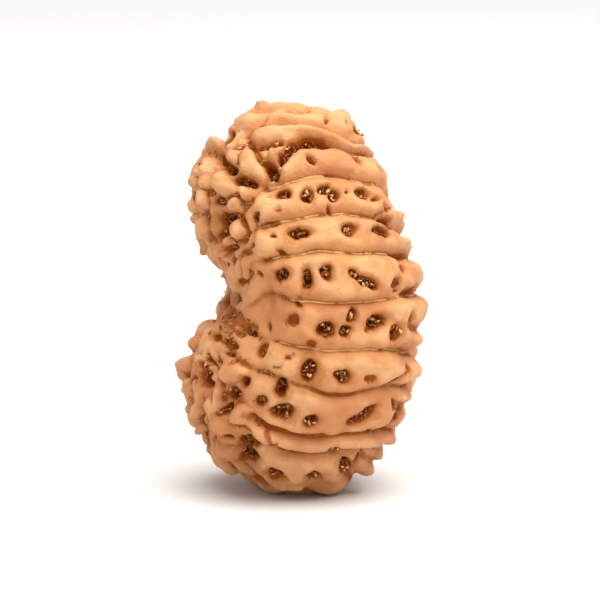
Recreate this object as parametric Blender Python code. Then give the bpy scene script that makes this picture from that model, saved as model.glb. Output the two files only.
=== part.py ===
"""A rudraksha bead: the woody stone of an Elaeocarpus fruit, standing on its end.

It is one piece. Ribs like thin cushions run round it from the pole in the notch on
its left to a pole at its right and back. Pits pierce the ribs, and both ends of the
kidney break up into knobs near the poles. Metres, +Z up, front towards -Y.
"""

import math

import bpy
import numpy as np

# Driving sizes of the smooth envelope that the tops of the ribs touch, in millimetres
HALF_WIDTH = 10.95
HALF_DEPTH = 12.3
HALF_HEIGHT = 17.6
BLUNTNESS = 2.2  # 2 is an ellipsoid, and more is squarer
CENTRE_LEAN = 0.6  # the middle stands this far to the right
TOP_LEAN = 1.15  # and the two lobes this far back to the left
FOOT_LEAN = 0.6
LOBE_HEIGHT = 12.0
LOBE_SPREAD = 5.4
WAIST = 0.09  # share of the width that the upper lobe loses under its crown
WAIST_HEIGHT = 7.5
WAIST_SPREAD = 4.5
HIP = 0.06  # and that the lower lobe gains
HIP_HEIGHT = -12.0
HIP_SPREAD = 4.5
NOTCH_DEPTH = 4.1
NOTCH_HEIGHT = 0.8
NOTCH_SPREAD = 4.0
NOTCH_FRONT = -5.5  # the notch is deepest in front of the left edge
NOTCH_REACH = 9.0  # towards the front, and further towards the back
NOTCH_BACK_REACH = 30.0
FOOT_MIDDLE = (0.8, 0.1)  # the flat spot that the bead rests on lies under its weight
FOOT_RADIUS = 3.1
FOOT_CUT = 0.45  # how far the cut lies above the envelope's lowest point

# Ribs, knobs and surface, in millimetres
GROOVE_DEPTH = 0.9
SHOULDER = 1.3  # a rib reaches its full height this far from its seam
BACK_RIBS = 11  # between the wide rib over the foot and the one over the crown
FOOT_RIB = 0.5  # how far those two reach round the bead, as turns in radians
TOP_RIB = 0.4
SEAM_WAVE = 0.12
SWELL_SIZE = 3.4
SWELL_HEIGHT = 0.28
LUMP_SIZE = 1.9  # the ribs are lumpier away from the front
LUMP_HEIGHT = 0.28
RIPPLE_SIZE = 1.15
RIPPLE_HEIGHT = 0.13
CRUMPLE_SIZE = 0.85  # the ground round the poles is crumpled too
CRUMPLE_HEIGHT = 0.13
KNOB_FLOOR = 0.65  # how far the ground between the knobs lies below the envelope
KNOB_TOP = 0.35  # a knob is flat over this share of its radius
KNOB_SKIRT = 1.4  # and its foot reaches this many radii
KNOB_WANDER = 0.22  # its outline strays this far
EDGE_ON_GROOVE = 0.4  # the grooves are this much deeper away from the front
PIT_EDGE = 0.16  # waviness of a pit's edge
DIMPLE_DEPTH = 0.3  # the skin dips this far round a pit a millimetre deep
DIMPLE_REACH = 1.75  # and this many times as wide as the pit
HIDDEN_PIT_SPACING = 2.9
HIDDEN_KNOB_SPACING = 2.5

# Where the ribs meet, as turns about the upright from +X: in the notch, and far behind on
# the right. The pole in the notch lies a little low
NOTCH_POLE = math.radians(-155.0)
FAR_POLE = math.radians(62.0)
POLE_DIP = math.radians(3.0)

# The front view that the places below are given in looks from a little above
VIEW_ELEVATION = math.radians(10.0)

# Seams between the ribs in front, from the top down. All places below are in the front
# view: millimetres to the right of the bead's middle, and above it
SEAMS = (
    ((-2.9, 15.5), (-0.9, 15.8), (2, 15.6), (3.8, 15), (5.7, 14.2)),
    ((-1.7, 10.6), (-1.5, 12), (-0.3, 13.6), (1.2, 14.3), (3.5, 13.9), (5.1, 13.3)),
    ((-7.4, 3.9), (-6, 6.4), (-4.9, 8.6), (-2.9, 9.8), (0.4, 10.7), (2.7, 11.3), (4.9, 10.8), (8.9, 8.6)),
    ((-4.3, 5.9), (-1.5, 6.8), (0.4, 7.1), (2.2, 7.6), (4.4, 7.7), (7.4, 7.2), (9.3, 6.4), (10.3, 6.1)),
    ((-4.6, 2.7), (-3.1, 3.1), (-1.3, 3.7), (0.4, 3.9), (2.2, 4.4), (4.9, 4), (8.7, 4.2), (11, 3.8)),
    ((-3.6, -0), (-0.4, -0.3), (2.7, -0.4), (5.5, -0.4), (8.4, 0), (10.4, 0.5), (11.6, 0.5)),
    ((-2.9, -3.2), (-0.4, -4.1), (2.2, -4.7), (6.2, -4.4), (8.9, -4.5), (10.5, -4.8), (11.6, -4.7)),
    ((-4.4, -6.3), (-2.9, -6.4), (-0.4, -7.5), (3.2, -8.7), (5.6, -8.3), (8.4, -7.6), (11.2, -7.3)),
    ((-4.4, -10), (-2.9, -11.3), (-0.9, -12), (1.8, -12.5), (4.4, -12.2), (6.8, -11.9), (9.2, -11.4)),
    ((-2.4, -13.1), (-0.4, -13.8), (1.3, -14), (3.1, -13.7), (6.2, -13.3), (8.4, -13.3)),
)

# Pits in front: place, half length and half width, tilt in degrees from the horizontal,
# and depth in millimetres
PITS = (
    (0.3, 16.7, 0.75, 0.35, 5, 0.9),
    (2.9, 16.1, 0.3, 0.25, 0, 0.5),
    (5.3, 14.4, 0.5, 0.2, -38, 0.5),
    (1.8, 14.2, 1.5, 0.42, -6, 1.3),
    (-0.3, 13.7, 0.9, 0.42, 38, 1.2),
    (-1.15, 12.8, 0.5, 0.36, 70, 1.2),
    (-2.0, 11.4, 0.9, 0.45, -58, 1.3),
    (1.5, 12.35, 0.6, 0.25, -45, 0.65),
    (5.8, 12.8, 0.75, 0.3, -55, 0.6),
    (-3.5, 7.3, 0.5, 0.26, 60, 0.8),
    (-2.2, 9.1, 0.35, 0.2, 0, 0.3),
    (-0.9, 9.3, 0.65, 0.5, 10, 1.1),
    (1.2, 9.1, 0.62, 0.58, 0, 1.1),
    (2.7, 9.8, 0.6, 0.45, 30, 1.1),
    (3.5, 9.2, 0.5, 0.45, 0, 1),
    (3.3, 8.1, 0.35, 0.2, -70, 0.5),
    (4.7, 9.4, 0.22, 0.2, 0, 0.5),
    (6.4, 9.4, 0.65, 0.42, -10, 1.1),
    (7.3, 9, 0.28, 0.18, -10, 0.5),
    (8.2, 8.1, 0.42, 0.18, -35, 0.5),
    (8.5, 6.9, 0.6, 0.45, -30, 1.1),
    (-1.5, 7.8, 0.32, 0.2, 20, 0.3),
    (-2, 6.7, 0.7, 0.18, 5, 0.4),
    (-2, 5.6, 0.32, 0.22, 30, 0.5),
    (-1.3, 4.1, 0.5, 0.2, -30, 0.5),
    (0.5, 5.8, 0.95, 0.42, 5, 1.2),
    (4.9, 6.2, 0.7, 0.45, 0, 1.1),
    (7.8, 6, 0.8, 0.4, -8, 1.2),
    (-6.2, 2.8, 0.26, 0.2, 0, 0.4),
    (-3.7, 1.9, 0.36, 0.26, 0, 0.3),
    (-4.9, 1.3, 0.32, 0.24, 0, 0.5),
    (-5.5, 0.8, 0.26, 0.2, 0, 0.5),
    (-1.3, 2, 0.7, 0.5, 15, 1.2),
    (1, 1.7, 0.85, 0.42, 85, 1.25),
    (2.9, 2.4, 0.66, 0.5, 90, 1.1),
    (5.2, 2.3, 0.5, 0.35, -45, 1),
    (6.4, 1.5, 1.1, 0.4, -20, 1.2),
    (9.8, 2.8, 0.5, 0.26, -60, 0.8),
    (9.2, 1.5, 0.5, 0.35, 70, 0.9),
    (9.3, 0.8, 0.3, 0.2, 0, 0.5),
    (0.4, 0.1, 0.32, 0.18, 0, 0.3),
    (-2.8, -2.2, 0.32, 0.2, 80, 0.4),
    (-0.3, -1.8, 0.75, 0.55, 30, 0.6),
    (0.3, -0.6, 0.42, 0.2, -20, 0.5),
    (2.8, -2.7, 0.75, 0.7, 0, 1.2),
    (5.2, -1.5, 0.75, 0.36, 80, 1.1),
    (4.5, -2.8, 0.55, 0.42, 20, 1.2),
    (7.6, -2, 0.85, 0.55, 15, 1.25),
    (6.8, -2.7, 0.32, 0.2, 40, 0.6),
    (9.2, -3, 0.7, 0.45, 80, 1.1),
    (10.4, -1.8, 0.65, 0.35, 80, 1),
    (1.5, -4, 0.6, 0.4, 0, 0.5),
    (-3.4, -4.4, 0.8, 0.5, 80, 0.8),
    (-0.7, -5.3, 0.36, 0.26, 0, 0.4),
    (-0.1, -5, 0.22, 0.2, 0, 0.3),
    (-1.6, -6, 0.36, 0.2, 0, 0.3),
    (1.2, -6.4, 1, 0.72, 80, 1.3),
    (4.3, -6.9, 0.66, 0.64, 0, 1.1),
    (6.7, -7, 0.6, 0.4, 0, 0.5),
    (9, -7.2, 0.55, 0.22, 35, 0.7),
    (10, -6.3, 0.5, 0.22, 60, 0.7),
    (-1.3, -8.1, 0.68, 0.56, 85, 1.3),
    (-3.2, -9.3, 0.62, 0.5, 15, 0.9),
    (-1.1, -10, 1.1, 0.6, 10, 1.2),
    (1.3, -10.8, 0.62, 0.52, 0, 1.1),
    (6, -10.4, 1.45, 0.42, 34, 1.2),
    (8.8, -9.3, 0.5, 0.26, 85, 0.8),
    (9.3, -9.9, 0.46, 0.36, 40, 0.9),
    (8.9, -10.5, 0.46, 0.3, 40, 0.9),
    (8.2, -11.3, 0.56, 0.3, 45, 0.8),
    (-1.8, -12.8, 0.32, 0.2, 60, 0.5),
    (-3.6, -13, 0.46, 0.36, 45, 0.9),
    (3.6, -13.5, 0.55, 0.42, 0, 0.9),
    (6.8, -11.9, 0.22, 0.2, 0, 0.4),
    (-1.7, -15.9, 0.8, 0.5, -10, 1.1),
    (1.7, -15.8, 0.62, 0.5, 0, 1),
    (4.6, -15, 0.64, 0.6, 85, 1.1),
    (5.6, -14.3, 0.55, 0.26, 45, 0.9),
    (-6.75, 12.6, 0.95, 0.4, -50, 1.3),
    (-5.85, 11.6, 0.55, 0.36, -60, 1.2),
    (-4.6, 10.4, 0.95, 0.4, -5, 1.2),
    (-7.1, 8.8, 0.5, 0.44, 0, 1),
    (-6.7, 6.9, 0.85, 0.7, 40, 1.4),
    (-6.9, 5.6, 0.8, 0.55, 75, 1.3),
    (-6.05, 4.35, 0.5, 0.32, 40, 0.7),
    (-4.6, 3.8, 0.55, 0.4, 30, 0.4),
    (-5.3, 0.1, 0.5, 0.5, 0, 0.7),
    (-5.3, -1.5, 1.3, 0.7, -38, 0.3),
    (-4.4, -2.4, 0.4, 0.28, -38, 0.8),
    (-7, -3.2, 0.34, 0.32, 0, 1.2),
    (-5.8, -3.6, 0.5, 0.3, -45, 0.7),
    (-6.1, -4.6, 0.3, 0.28, 0, 0.7),
    (-7.8, -5.2, 0.3, 0.26, 0, 0.6),
    (-6.8, -5.4, 0.3, 0.26, 0, 0.6),
    (-8.2, -6.8, 1, 0.66, 85, 1.3),
    (-4.7, -7.4, 0.5, 0.36, 85, 1),
    (-6.1, -8.6, 0.6, 0.5, 40, 1.2),
    (-6.5, -9.9, 0.5, 0.36, 60, 1),
    (-8.8, -9.9, 0.5, 0.36, 60, 0.5),
    (-8.2, -10.9, 0.56, 0.26, 85, 0.8),
    (-4.7, -13.3, 0.8, 0.65, 60, 1.5),
    (-4.4, -14.6, 0.85, 0.65, 20, 1.5),
)

# Creases in front: the points along each, its half width and its depth in millimetres
CREASES = (
    (((-5.3, 15.4), (-5.7, 14.5), (-6.6, 13.9)), 0.24, 1.1),
    (((-2.5, 15.9), (-3.0, 15.5)), 0.18, 0.4),
    (((4.6, 15.7), (5.3, 15.0)), 0.18, 0.4),
    (((4.8, 14.8), (5.7, 14.2)), 0.16, 0.35),
    (((5.4, 13.2), (6.2, 12.1)), 0.22, 0.6),
    (((2.8, 15.6), (3.7, 15.2)), 0.2, 0.4),
    (((3.2, 11.3), (5.4, 11.0)), 0.3, 0.3),
    (((-8.25, 12.0), (-8.35, 10.9)), 0.18, 0.8),
    (((-7.0, 12.2), (-7.0, 11.2), (-7.5, 10.2), (-7.7, 9.5)), 0.22, 0.8),
    (((-6.0, 13.0), (-4.6, 13.5)), 0.22, 0.9),
    (((-4.2, 14.3), (-3.9, 13.7), (-3.4, 13.0), (-3.1, 12.3), (-2.5, 11.9)), 0.24, 0.7),
    (((-3.2, 13.25), (-2.3, 13.4), (-1.2, 13.9)), 0.24, 0.8),
    (((-5.3, 10.4), (-4.9, 10.2)), 0.2, 0.5),
    (((-8.1, 8.1), (-8.9, 7.2), (-8.95, 6.2), (-8.6, 5.5)), 0.2, 0.7),
    (((-4.9, 6.9), (-4.5, 5.9), (-4.8, 5.1)), 0.25, 0.4),
    (((-4.0, 4.7), (-4.9, 3.9), (-5.9, 3.0)), 0.25, 0.35),
    (((-6.0, -0.7), (-3.9, -2.2)), 0.17, 0.45),
    (((-6.3, -1.1), (-4.2, -2.7)), 0.17, 0.5),
    (((-6.5, -1.7), (-4.9, -2.9)), 0.17, 0.45),
    (((-6.6, -2.6), (-5.9, -3.0), (-5.3, -4.0)), 0.13, 0.4),
    (((-6.5, -3.4), (-5.9, -4.2)), 0.22, 0.5),
    (((-7.7, -4.7), (-7.4, -5.7)), 0.16, 0.4),
    (((-7.0, -5.0), (-6.8, -5.7)), 0.13, 0.35),
    (((-8.4, -5.7), (-7.8, -6.3), (-7.4, -7.0)), 0.3, 1.1),
    (((-9.0, -6.9), (-9.5, -6.9)), 0.2, 0.5),
    (((-8.4, -11.8), (-7.5, -12.0), (-6.0, -12.5)), 0.24, 0.9),
    (((-4.5, -10.2), (-3.6, -11.0), (-2.4, -11.6), (-1.0, -11.9)), 0.4, 0.4),
    (((-2.6, -11.7), (-2.0, -13.0)), 0.3, 0.5),
    (((-1.2, -13.5), (0.0, -13.9), (3.0, -13.7)), 0.25, 0.5),
    (((-1.0, -11.9), (0.6, -12.2), (2.4, -12.3)), 0.3, 0.45),
    (((8.9, 6.6), (9.6, 6.3)), 0.35, 0.5),
    (((9.5, 4.0), (10.4, 4.1)), 0.35, 0.6),
    (((10.2, 0.6), (11.2, 0.8)), 0.4, 0.8),
    (((10.6, -2.5), (11.4, -2.8)), 0.4, 0.6),
    (((8.5, -7.4), (9.4, -6.9), (10.2, -5.9)), 0.18, 0.5),
    (((9.2, -9.2), (10.3, -9.5)), 0.35, 0.6),
    (((6.2, -14.1), (7.3, -14.6)), 0.35, 0.6),
    (((5.4, -14.7), (6.0, -14.0), (6.5, -13.4)), 0.22, 0.7),
    (((4.6, -15.5), (5.2, -16.2)), 0.4, 0.7),
    (((8.6, 8.2), (7.6, 7.6)), 0.2, 0.5),
    (((-2.7, -16.8), (-4.2, -16.3)), 0.6, 0.6),
)

# Creases that cross the outline: place, half width and depth in millimetres
OUTLINE_CREASES = (
    (-6.6, 14.8, 0.42, 1.4),
    (-10.0, -4.8, 0.4, 0.9),
    (5.7, 15.2, 0.5, 0.5),
    (9.6, 6.1, 0.4, 0.8),
    (10.3, 4.1, 0.4, 0.6),
    (11.0, 0.8, 0.45, 0.7),
    (7.1, -14.5, 0.4, 0.6),
    (5.6, -15.8, 0.45, 0.7),
)
OUTLINE_RUN = 3.0  # how far each reaches in front of the outline, and behind it

# Knobs and ridges in front: the points along each, its radius and its height in millimetres
KNOBS = (
    (((-4.9, 15.7), (-4.1, 15.5)), 1.05, 0.55),
    (((-5.65, 15.4), (-5.75, 14.8)), 0.3, 0.45),
    (((-7.8, 13.75), (-7.0, 14.2)), 0.85, 0.5),
    (((-4.95, 14.2), (-5.95, 13.5)), 0.6, 0.5),
    (((-5.3, 12.7), (-5.6, 12.1)), 0.55, 0.45),
    (((-4.2, 12.3), (-4.1, 11.5)), 0.8, 0.6),
    (((-4.1, 11.5), (-2.8, 10.8)), 0.65, 0.45),
    (((-1.95, 12.6), (-1.9, 12.45)), 0.5, 0.6),
    (((-2.9, 14.2), (-1.9, 14.5)), 1.0, 0.45),
    (((-1.6, 14.9), (0.5, 15.2), (2.6, 15.2)), 0.5, 0.25),
    (((-8.8, 12.3), (-8.85, 11.3)), 0.5, 0.3),
    (((-7.75, 12.5), (-7.7, 11.4), (-8.0, 10.2)), 0.5, 0.5),
    (((-6.7, 10.5), (-6.1, 9.9)), 0.95, 0.5),
    (((-8.2, 9.4), (-8.1, 8.2)), 0.45, 0.35),
    (((-4.7, 9.8), (-4.65, 9.4)), 0.4, 0.4),
    (((-5.5, 8.5), (-5.5, 8.2)), 0.65, 0.45),
    (((-8.15, 6.6), (-8.1, 5.7)), 0.65, 0.5),
    (((-9.2, 7.2), (-9.2, 5.9)), 0.4, 0.3),
    (((-8.7, 5.4), (-8.4, 4.4)), 0.7, 0.8),
    (((-5.5, 6.5), (-5.3, 5.8)), 0.65, 0.4),
    (((-6.0, 5.0), (-6.8, 4.0)), 0.45, 0.4),
    (((-2.9, 8.6), (-2.7, 7.7)), 0.95, 0.45),
    (((-3.0, 5.1), (-2.6, 4.4)), 0.9, 0.4),
    (((-6.8, -0.7), (-7.6, -2.4), (-7.6, -3.8)), 0.5, 0.15),
    (((-7.5, -3.8), (-7.0, -5.4)), 0.35, 0.25),
    (((-8.6, -3.2), (-9.1, -4.0)), 0.8, 0.5),
    (((-9.9, -5.4), (-9.6, -5.7)), 0.7, 0.5),
    (((-8.6, -5.2), (-7.6, -6.2), (-7.1, -7.1), (-7.1, -8.9)), 0.4, 0.45),
    (((-9.8, -7.4), (-9.8, -8.3)), 0.55, 0.45),
    (((-8.7, -7.9), (-8.6, -9.2)), 0.4, 0.3),
    (((-9.4, -9.9), (-9.4, -10.4)), 0.65, 0.45),
    (((-7.4, -9.4), (-6.9, -11.2)), 1.0, 0.25),
    (((-8.9, -11.8), (-8.9, -12.0)), 0.45, 0.4),
    (((-6.3, -6.8), (-5.2, -6.4)), 0.8, 0.3),
    (((-5.5, -10.4), (-4.9, -10.1)), 0.8, 0.4),
    (((-3.3, -12.0), (-2.3, -12.5)), 0.75, 0.4),
    (((-6.8, -13.9), (-6.0, -14.2)), 1.2, 0.35),
    (((-8.5, -12.7), (-7.2, -14.5)), 0.9, 0.45),
    (((-2.2, -16.4), (-1.2, -16.9), (0.2, -16.8)), 0.6, 0.25),
    (((-3.2, 17.1), (-2.9, 17.0)), 0.5, 0.45),
    (((-2.3, 15.8), (-1.2, 16.6), (-0.6, 16.9)), 0.6, 0.3),
    (((1.5, 17.0), (2.0, 16.8)), 0.6, 0.4),
    (((4.2, 16.2), (4.4, 16.0)), 0.8, 0.4),
    (((7.1, 12.8), (7.2, 12.7)), 0.4, 0.3),
    (((8.7, 8.9), (8.5, 9.4)), 0.7, 0.25),
    (((9.2, 7.7), (9.3, 7.4)), 0.8, 0.3),
    (((10.0, 5.2), (10.1, 4.9)), 0.85, 0.5),
    (((10.9, 2.5), (11.0, 2.1)), 0.8, 0.2),
    (((11.3, -1.0), (11.3, -1.3)), 0.7, 0.1),
    (((11.0, -3.6), (11.0, -3.9)), 0.8, 0.3),
    (((10.8, -6.2), (10.7, -6.6)), 0.7, 0.1),
    (((8.6, -12.0), (8.5, -12.4)), 0.85, 0.4),
    (((7.8, -13.6), (7.7, -13.9)), 0.8, 0.4),
    (((6.5, -15.0), (6.4, -15.3)), 0.8, 0.4),
)

MM = 0.001
NODE = "bead"
CELLS = 90  # squares along each edge of the cube that the mesh is wrapped from
TRIANGLES = 11400  # what the mesh is then thinned to, with most left where it bends
SEED = 21


def unit(v):
    return v / np.linalg.norm(v, axis=-1, keepdims=True)


def ease(low, high, v):
    """0 below low, 1 above high, and smooth between them."""
    t = np.clip((v - low) / (high - low), 0.0, 1.0)
    return t * t * (3.0 - 2.0 * t)


def noise(points, size, seed):
    """Smooth noise from -1 to 1, with lumps of about the given size."""
    q = points / size + 37.0
    cell = np.floor(q).astype(np.int64)
    f = q - cell
    f = f * f * f * (f * (6.0 * f - 15.0) + 10.0)
    total = np.zeros(len(points))
    for corner in np.ndindex(2, 2, 2):
        i, j, k = (cell + corner).T
        h = (i * 374761393 + j * 668265263 + k * 1442695041 + seed * 97531) & 0xFFFFFFFF
        h = ((h ^ (h >> 13)) * 1274126177) & 0xFFFFFFFF
        value = (h ^ (h >> 16)) / 2147483648.0 - 1.0
        share = np.where(np.array(corner) == 1, f, 1.0 - f).prod(axis=1)
        total += value * share
    return total


def envelope(s):
    """The smooth kidney that the ribs touch, for unit vectors from the middle."""
    p = s / (np.abs(s) ** BLUNTNESS).sum(axis=1, keepdims=True) ** (1.0 / BLUNTNESS)
    x, y, z = (p * (HALF_WIDTH, HALF_DEPTH, HALF_HEIGHT)).T
    x = x * (1.0 - WAIST * np.exp(-(((z - WAIST_HEIGHT) / WAIST_SPREAD) ** 2)))
    x = x * (1.0 + HIP * np.exp(-(((z - HIP_HEIGHT) / HIP_SPREAD) ** 2)))
    x = x + CENTRE_LEAN
    x = x - TOP_LEAN * np.exp(-(((z - LOBE_HEIGHT) / LOBE_SPREAD) ** 2))
    x = x - FOOT_LEAN * np.exp(-(((z + LOBE_HEIGHT) / LOBE_SPREAD) ** 2))
    back = y - NOTCH_FRONT
    sideways = back / np.where(back < 0.0, NOTCH_REACH, NOTCH_BACK_REACH)
    reach = ((z - NOTCH_HEIGHT) / NOTCH_SPREAD) ** 2 + sideways**2
    x = x + NOTCH_DEPTH * np.exp(-reach) * ease(0.35, -0.6, s[:, 0])
    return np.stack((x, y, z), axis=1)


def outward(s):
    """The envelope's normal."""
    step = 0.01
    side = unit(np.cross(s, np.where(np.abs(s[:, 2:]) < 0.8, (0.0, 0.0, 1.0), (1.0, 0.0, 0.0))))
    up = np.cross(s, side)
    across = envelope(unit(s + step * side)) - envelope(unit(s - step * side))
    along = envelope(unit(s + step * up)) - envelope(unit(s - step * up))
    return unit(np.cross(across, along))


# The view's axes, and the rib axes about the pole in the notch
VIEW_RIGHT = np.array((1.0, 0.0, 0.0))
VIEW_UP = np.array((0.0, math.sin(VIEW_ELEVATION), math.cos(VIEW_ELEVATION)))
VIEW_AWAY = np.array((0.0, math.cos(VIEW_ELEVATION), -math.sin(VIEW_ELEVATION)))
POLE_AXIS = np.array((
    math.cos(POLE_DIP) * math.cos(NOTCH_POLE),
    math.cos(POLE_DIP) * math.sin(NOTCH_POLE),
    -math.sin(POLE_DIP),
))
RIB_UP = unit(np.array((0.0, 0.0, 1.0)) - POLE_AXIS[2] * POLE_AXIS)
RIB_FRONT = np.cross(POLE_AXIS, RIB_UP)
RIB_FRONT = RIB_FRONT * -np.sign(RIB_FRONT[1])


def even_directions(count):
    """Unit vectors spread evenly over a sphere, on a spiral."""
    i = np.arange(count) + 0.5
    z = 1.0 - 2.0 * i / count
    turn = math.pi * (1.0 + math.sqrt(5.0)) * i
    ring = np.sqrt(1.0 - z * z)
    return np.stack((ring * np.cos(turn), ring * np.sin(turn), z), axis=1)


def seen_directions():
    """Directions that the front view sees, and their places in it in millimetres."""
    s = even_directions(160000)
    s = s[outward(s) @ VIEW_AWAY < 0.0]
    points = envelope(s)
    return s, np.stack((points @ VIEW_RIGHT, points @ VIEW_UP), axis=1)


SEEN, SEEN_AT = seen_directions()


def direction_of(place):
    """The direction whose envelope point lies at a place in the front view."""
    return SEEN[np.argmin(((SEEN_AT - place) ** 2).sum(axis=1))]


def facing_poles(s):
    """Directions squeezed about the upright until the two poles face each other."""
    past = np.mod(np.arctan2(s[:, 1], s[:, 0]) - NOTCH_POLE, 2.0 * math.pi)
    span = FAR_POLE - NOTCH_POLE
    in_front = past * math.pi / span
    behind = math.pi + (past - span) * math.pi / (2.0 * math.pi - span)
    turned = NOTCH_POLE + np.where(past < span, in_front, behind)
    ring = np.hypot(s[:, 0], s[:, 1])
    return np.stack((ring * np.cos(turned), ring * np.sin(turned), s[:, 2]), axis=1)


def rib_angles(s):
    """Turn about the pole axis, 0 in front and upwards from there, and angle from the pole."""
    s = facing_poles(s)
    turn = np.arctan2(s @ RIB_UP, s @ RIB_FRONT)
    return turn, np.arccos(np.clip(s @ POLE_AXIS, -1.0, 1.0))


STEPS = np.linspace(0.0, math.pi, 181)


def smoothed(values, spread):
    """Values along STEPS, averaged over a spread given in steps."""
    reach = np.arange(-3 * spread, 3 * spread + 1)
    weight = np.exp(-0.5 * (reach / spread) ** 2)
    padded = np.pad(values, 3 * spread, mode="edge")
    return np.convolve(padded, weight / weight.sum(), mode="valid")


def front_seam(places):
    """A seam's turn about the pole axis, at each of STEPS."""
    s = np.array([direction_of(place) for place in places])
    turn, away = rib_angles(s)
    turn = np.unwrap(turn)
    order = np.argsort(away)
    return smoothed(np.interp(STEPS, away[order], turn[order]), 4)


def all_seams():
    """Each seam's turn below the top one, at each of STEPS, down the front and up the back."""
    rng = np.random.default_rng(SEED)
    front = [front_seam(points) for points in SEAMS]
    top = front[0]
    below = [top - seam for seam in front]
    last = front[-1] - FOOT_RIB
    top_end = 2.0 * math.pi - TOP_RIB
    middle = len(STEPS) // 2
    for rib in range(BACK_RIBS + 1):
        share = (rib + rng.uniform(-0.14, 0.14)) / BACK_RIBS
        even = (1.0 - share) * last[middle] + share * (top[middle] - top_end)
        bend = (1.0 - share) ** 2 * (last - last[middle]) + share**2 * (top - top[middle])
        wobble = smoothed(rng.normal(0.0, 0.25, len(STEPS)), 14)
        below.append(top - even - bend + wobble)
    below.append(np.full(len(STEPS), 2.0 * math.pi))
    return top, np.maximum.accumulate(np.array(below), axis=0)


TOP_SEAM, SEAMS_BELOW = all_seams()


def past_seams(s):
    """How far the turn at each direction has passed each seam, from the top one down."""
    turn, away = rib_angles(s)
    below = np.mod(np.interp(away, STEPS, TOP_SEAM) - turn, 2.0 * math.pi)
    return below - np.array([np.interp(away, STEPS, row) for row in SEAMS_BELOW])


def rib_place(s):
    """Millimetres from the seam above, and from the seam below."""
    past = past_seams(s)
    rib = np.clip((past >= 0.0).sum(axis=0) - 1, 0, len(past) - 2)
    column = np.arange(len(s))
    here = envelope(s)
    step = 0.004
    side = unit(np.cross(s, POLE_AXIS + 0.001 * RIB_UP))
    slopes = []
    for way in (side, np.cross(s, side)):
        beside = unit(s + step * way)
        change = past_seams(beside) - past
        change = (change + math.pi) % (2.0 * math.pi) - math.pi
        slopes.append(change / np.linalg.norm(envelope(beside) - here, axis=1))
    per_mm = np.hypot(*slopes) + 1e-6
    wave = SEAM_WAVE * noise(here, 1.6, 15)
    before = past[rib, column] / per_mm[rib, column] + wave
    after = -past[rib + 1, column] / per_mm[rib + 1, column] - wave
    return np.maximum(before, 0.0), np.maximum(after, 0.0)


def scar(s):
    """1 in the smooth scar at each pole, where the seams run out, 0 outside it."""
    _, away = rib_angles(s)
    return 1.0 - ease(0.2, 0.5, np.minimum(away, math.pi - away))


def knobby(s):
    """1 in the lumpy ground round the scars, 0 in them and where the ribs run clear."""
    turn, away = rib_angles(s)
    edge = np.radians(36.0 + 20.0 * np.sin(turn) ** 2)
    near = 1.0 - ease(edge - 0.2, edge + 0.2, away)
    far = ease(math.pi - 0.65, math.pi - 0.35, away)
    return np.maximum(near, far) * (1.0 - scar(s))


def on_rib(s):
    """True away from the seams, the scars and the flat spot, where a pit can lie."""
    clear = (scar(s) < 0.1) & (on_foot(envelope(s), 1.2) < 0.1)
    return (np.minimum(*rib_place(s)) > 0.8) & clear


def hidden(s):
    """True where the front view doesn't reach, or sees only edge on."""
    return outward(s) @ VIEW_AWAY > -0.05


def footprint(s, half_length, half_width, tilt):
    """Two vectors in the surface that cover an ellipse as the view sees it."""
    normal = outward(s[None])[0]
    facing = min(normal @ VIEW_AWAY, -0.45)
    sides = []
    for reach, angle in ((half_length, tilt), (half_width, tilt + 90.0)):
        a = math.radians(angle)
        across = math.cos(a) * VIEW_RIGHT + math.sin(a) * VIEW_UP
        flat = across - (across @ normal) / facing * VIEW_AWAY
        sides.append(reach * (flat - (flat @ normal) * normal))
    return envelope(s[None])[0], sides[0], sides[1], normal


def front_pits():
    pits = []
    for x, z, half_length, half_width, tilt, depth in PITS:
        pits.append((*footprint(direction_of((x, z)), half_length, half_width, tilt), depth))
    return pits


def surface_pit(s, half_length, half_width, angle, depth):
    """A pit given by its direction, for the sides that the view doesn't show."""
    normal = outward(s[None])[0]
    along = unit(np.cross(normal, POLE_AXIS + 0.01 * RIB_UP))
    across = np.cross(normal, along)
    first = math.cos(angle) * along + math.sin(angle) * across
    second = np.cross(normal, first)
    return envelope(s[None])[0], half_length * first, half_width * second, normal, depth


def hidden_places(seed, spacing, fits):
    """Directions that the view doesn't show, a seeded draw at an even spacing."""
    rng = np.random.default_rng(seed)
    candidates = rng.permutation(even_directions(5000))
    taken = np.empty((0, 3))
    for s in candidates[hidden(candidates) & fits(candidates)]:
        middle = envelope(s[None])
        if len(taken) == 0 or np.linalg.norm(taken - middle, axis=1).min() > spacing:
            taken = np.concatenate((taken, middle))
            yield s, rng


def hidden_pits():
    pits = []
    for s, rng in hidden_places(SEED + 1, HIDDEN_PIT_SPACING, on_rib):
        long, wide = rng.uniform(0.4, 1.0), rng.uniform(0.35, 0.6)
        angle, depth = rng.uniform(0.0, math.pi), rng.uniform(0.6, 1.3)
        pits.append(surface_pit(s, max(long, wide), wide, angle, depth))
    return pits


def front_lines(table):
    """Straight stretches of creases or ridges on the envelope, each with its two sizes."""
    stretches = []
    for places, radius, height in table:
        line = envelope(np.array([direction_of(place) for place in places]))
        stretches += [(start, end, radius, height) for start, end in zip(line[:-1], line[1:])]
    return stretches


def outline_creases():
    run = OUTLINE_RUN * VIEW_AWAY
    creases = []
    for x, z, half_width, deep in OUTLINE_CREASES:
        middle = envelope(direction_of((x, z))[None])[0]
        creases.append((middle - run, middle + run, half_width, deep))
    return creases


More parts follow.
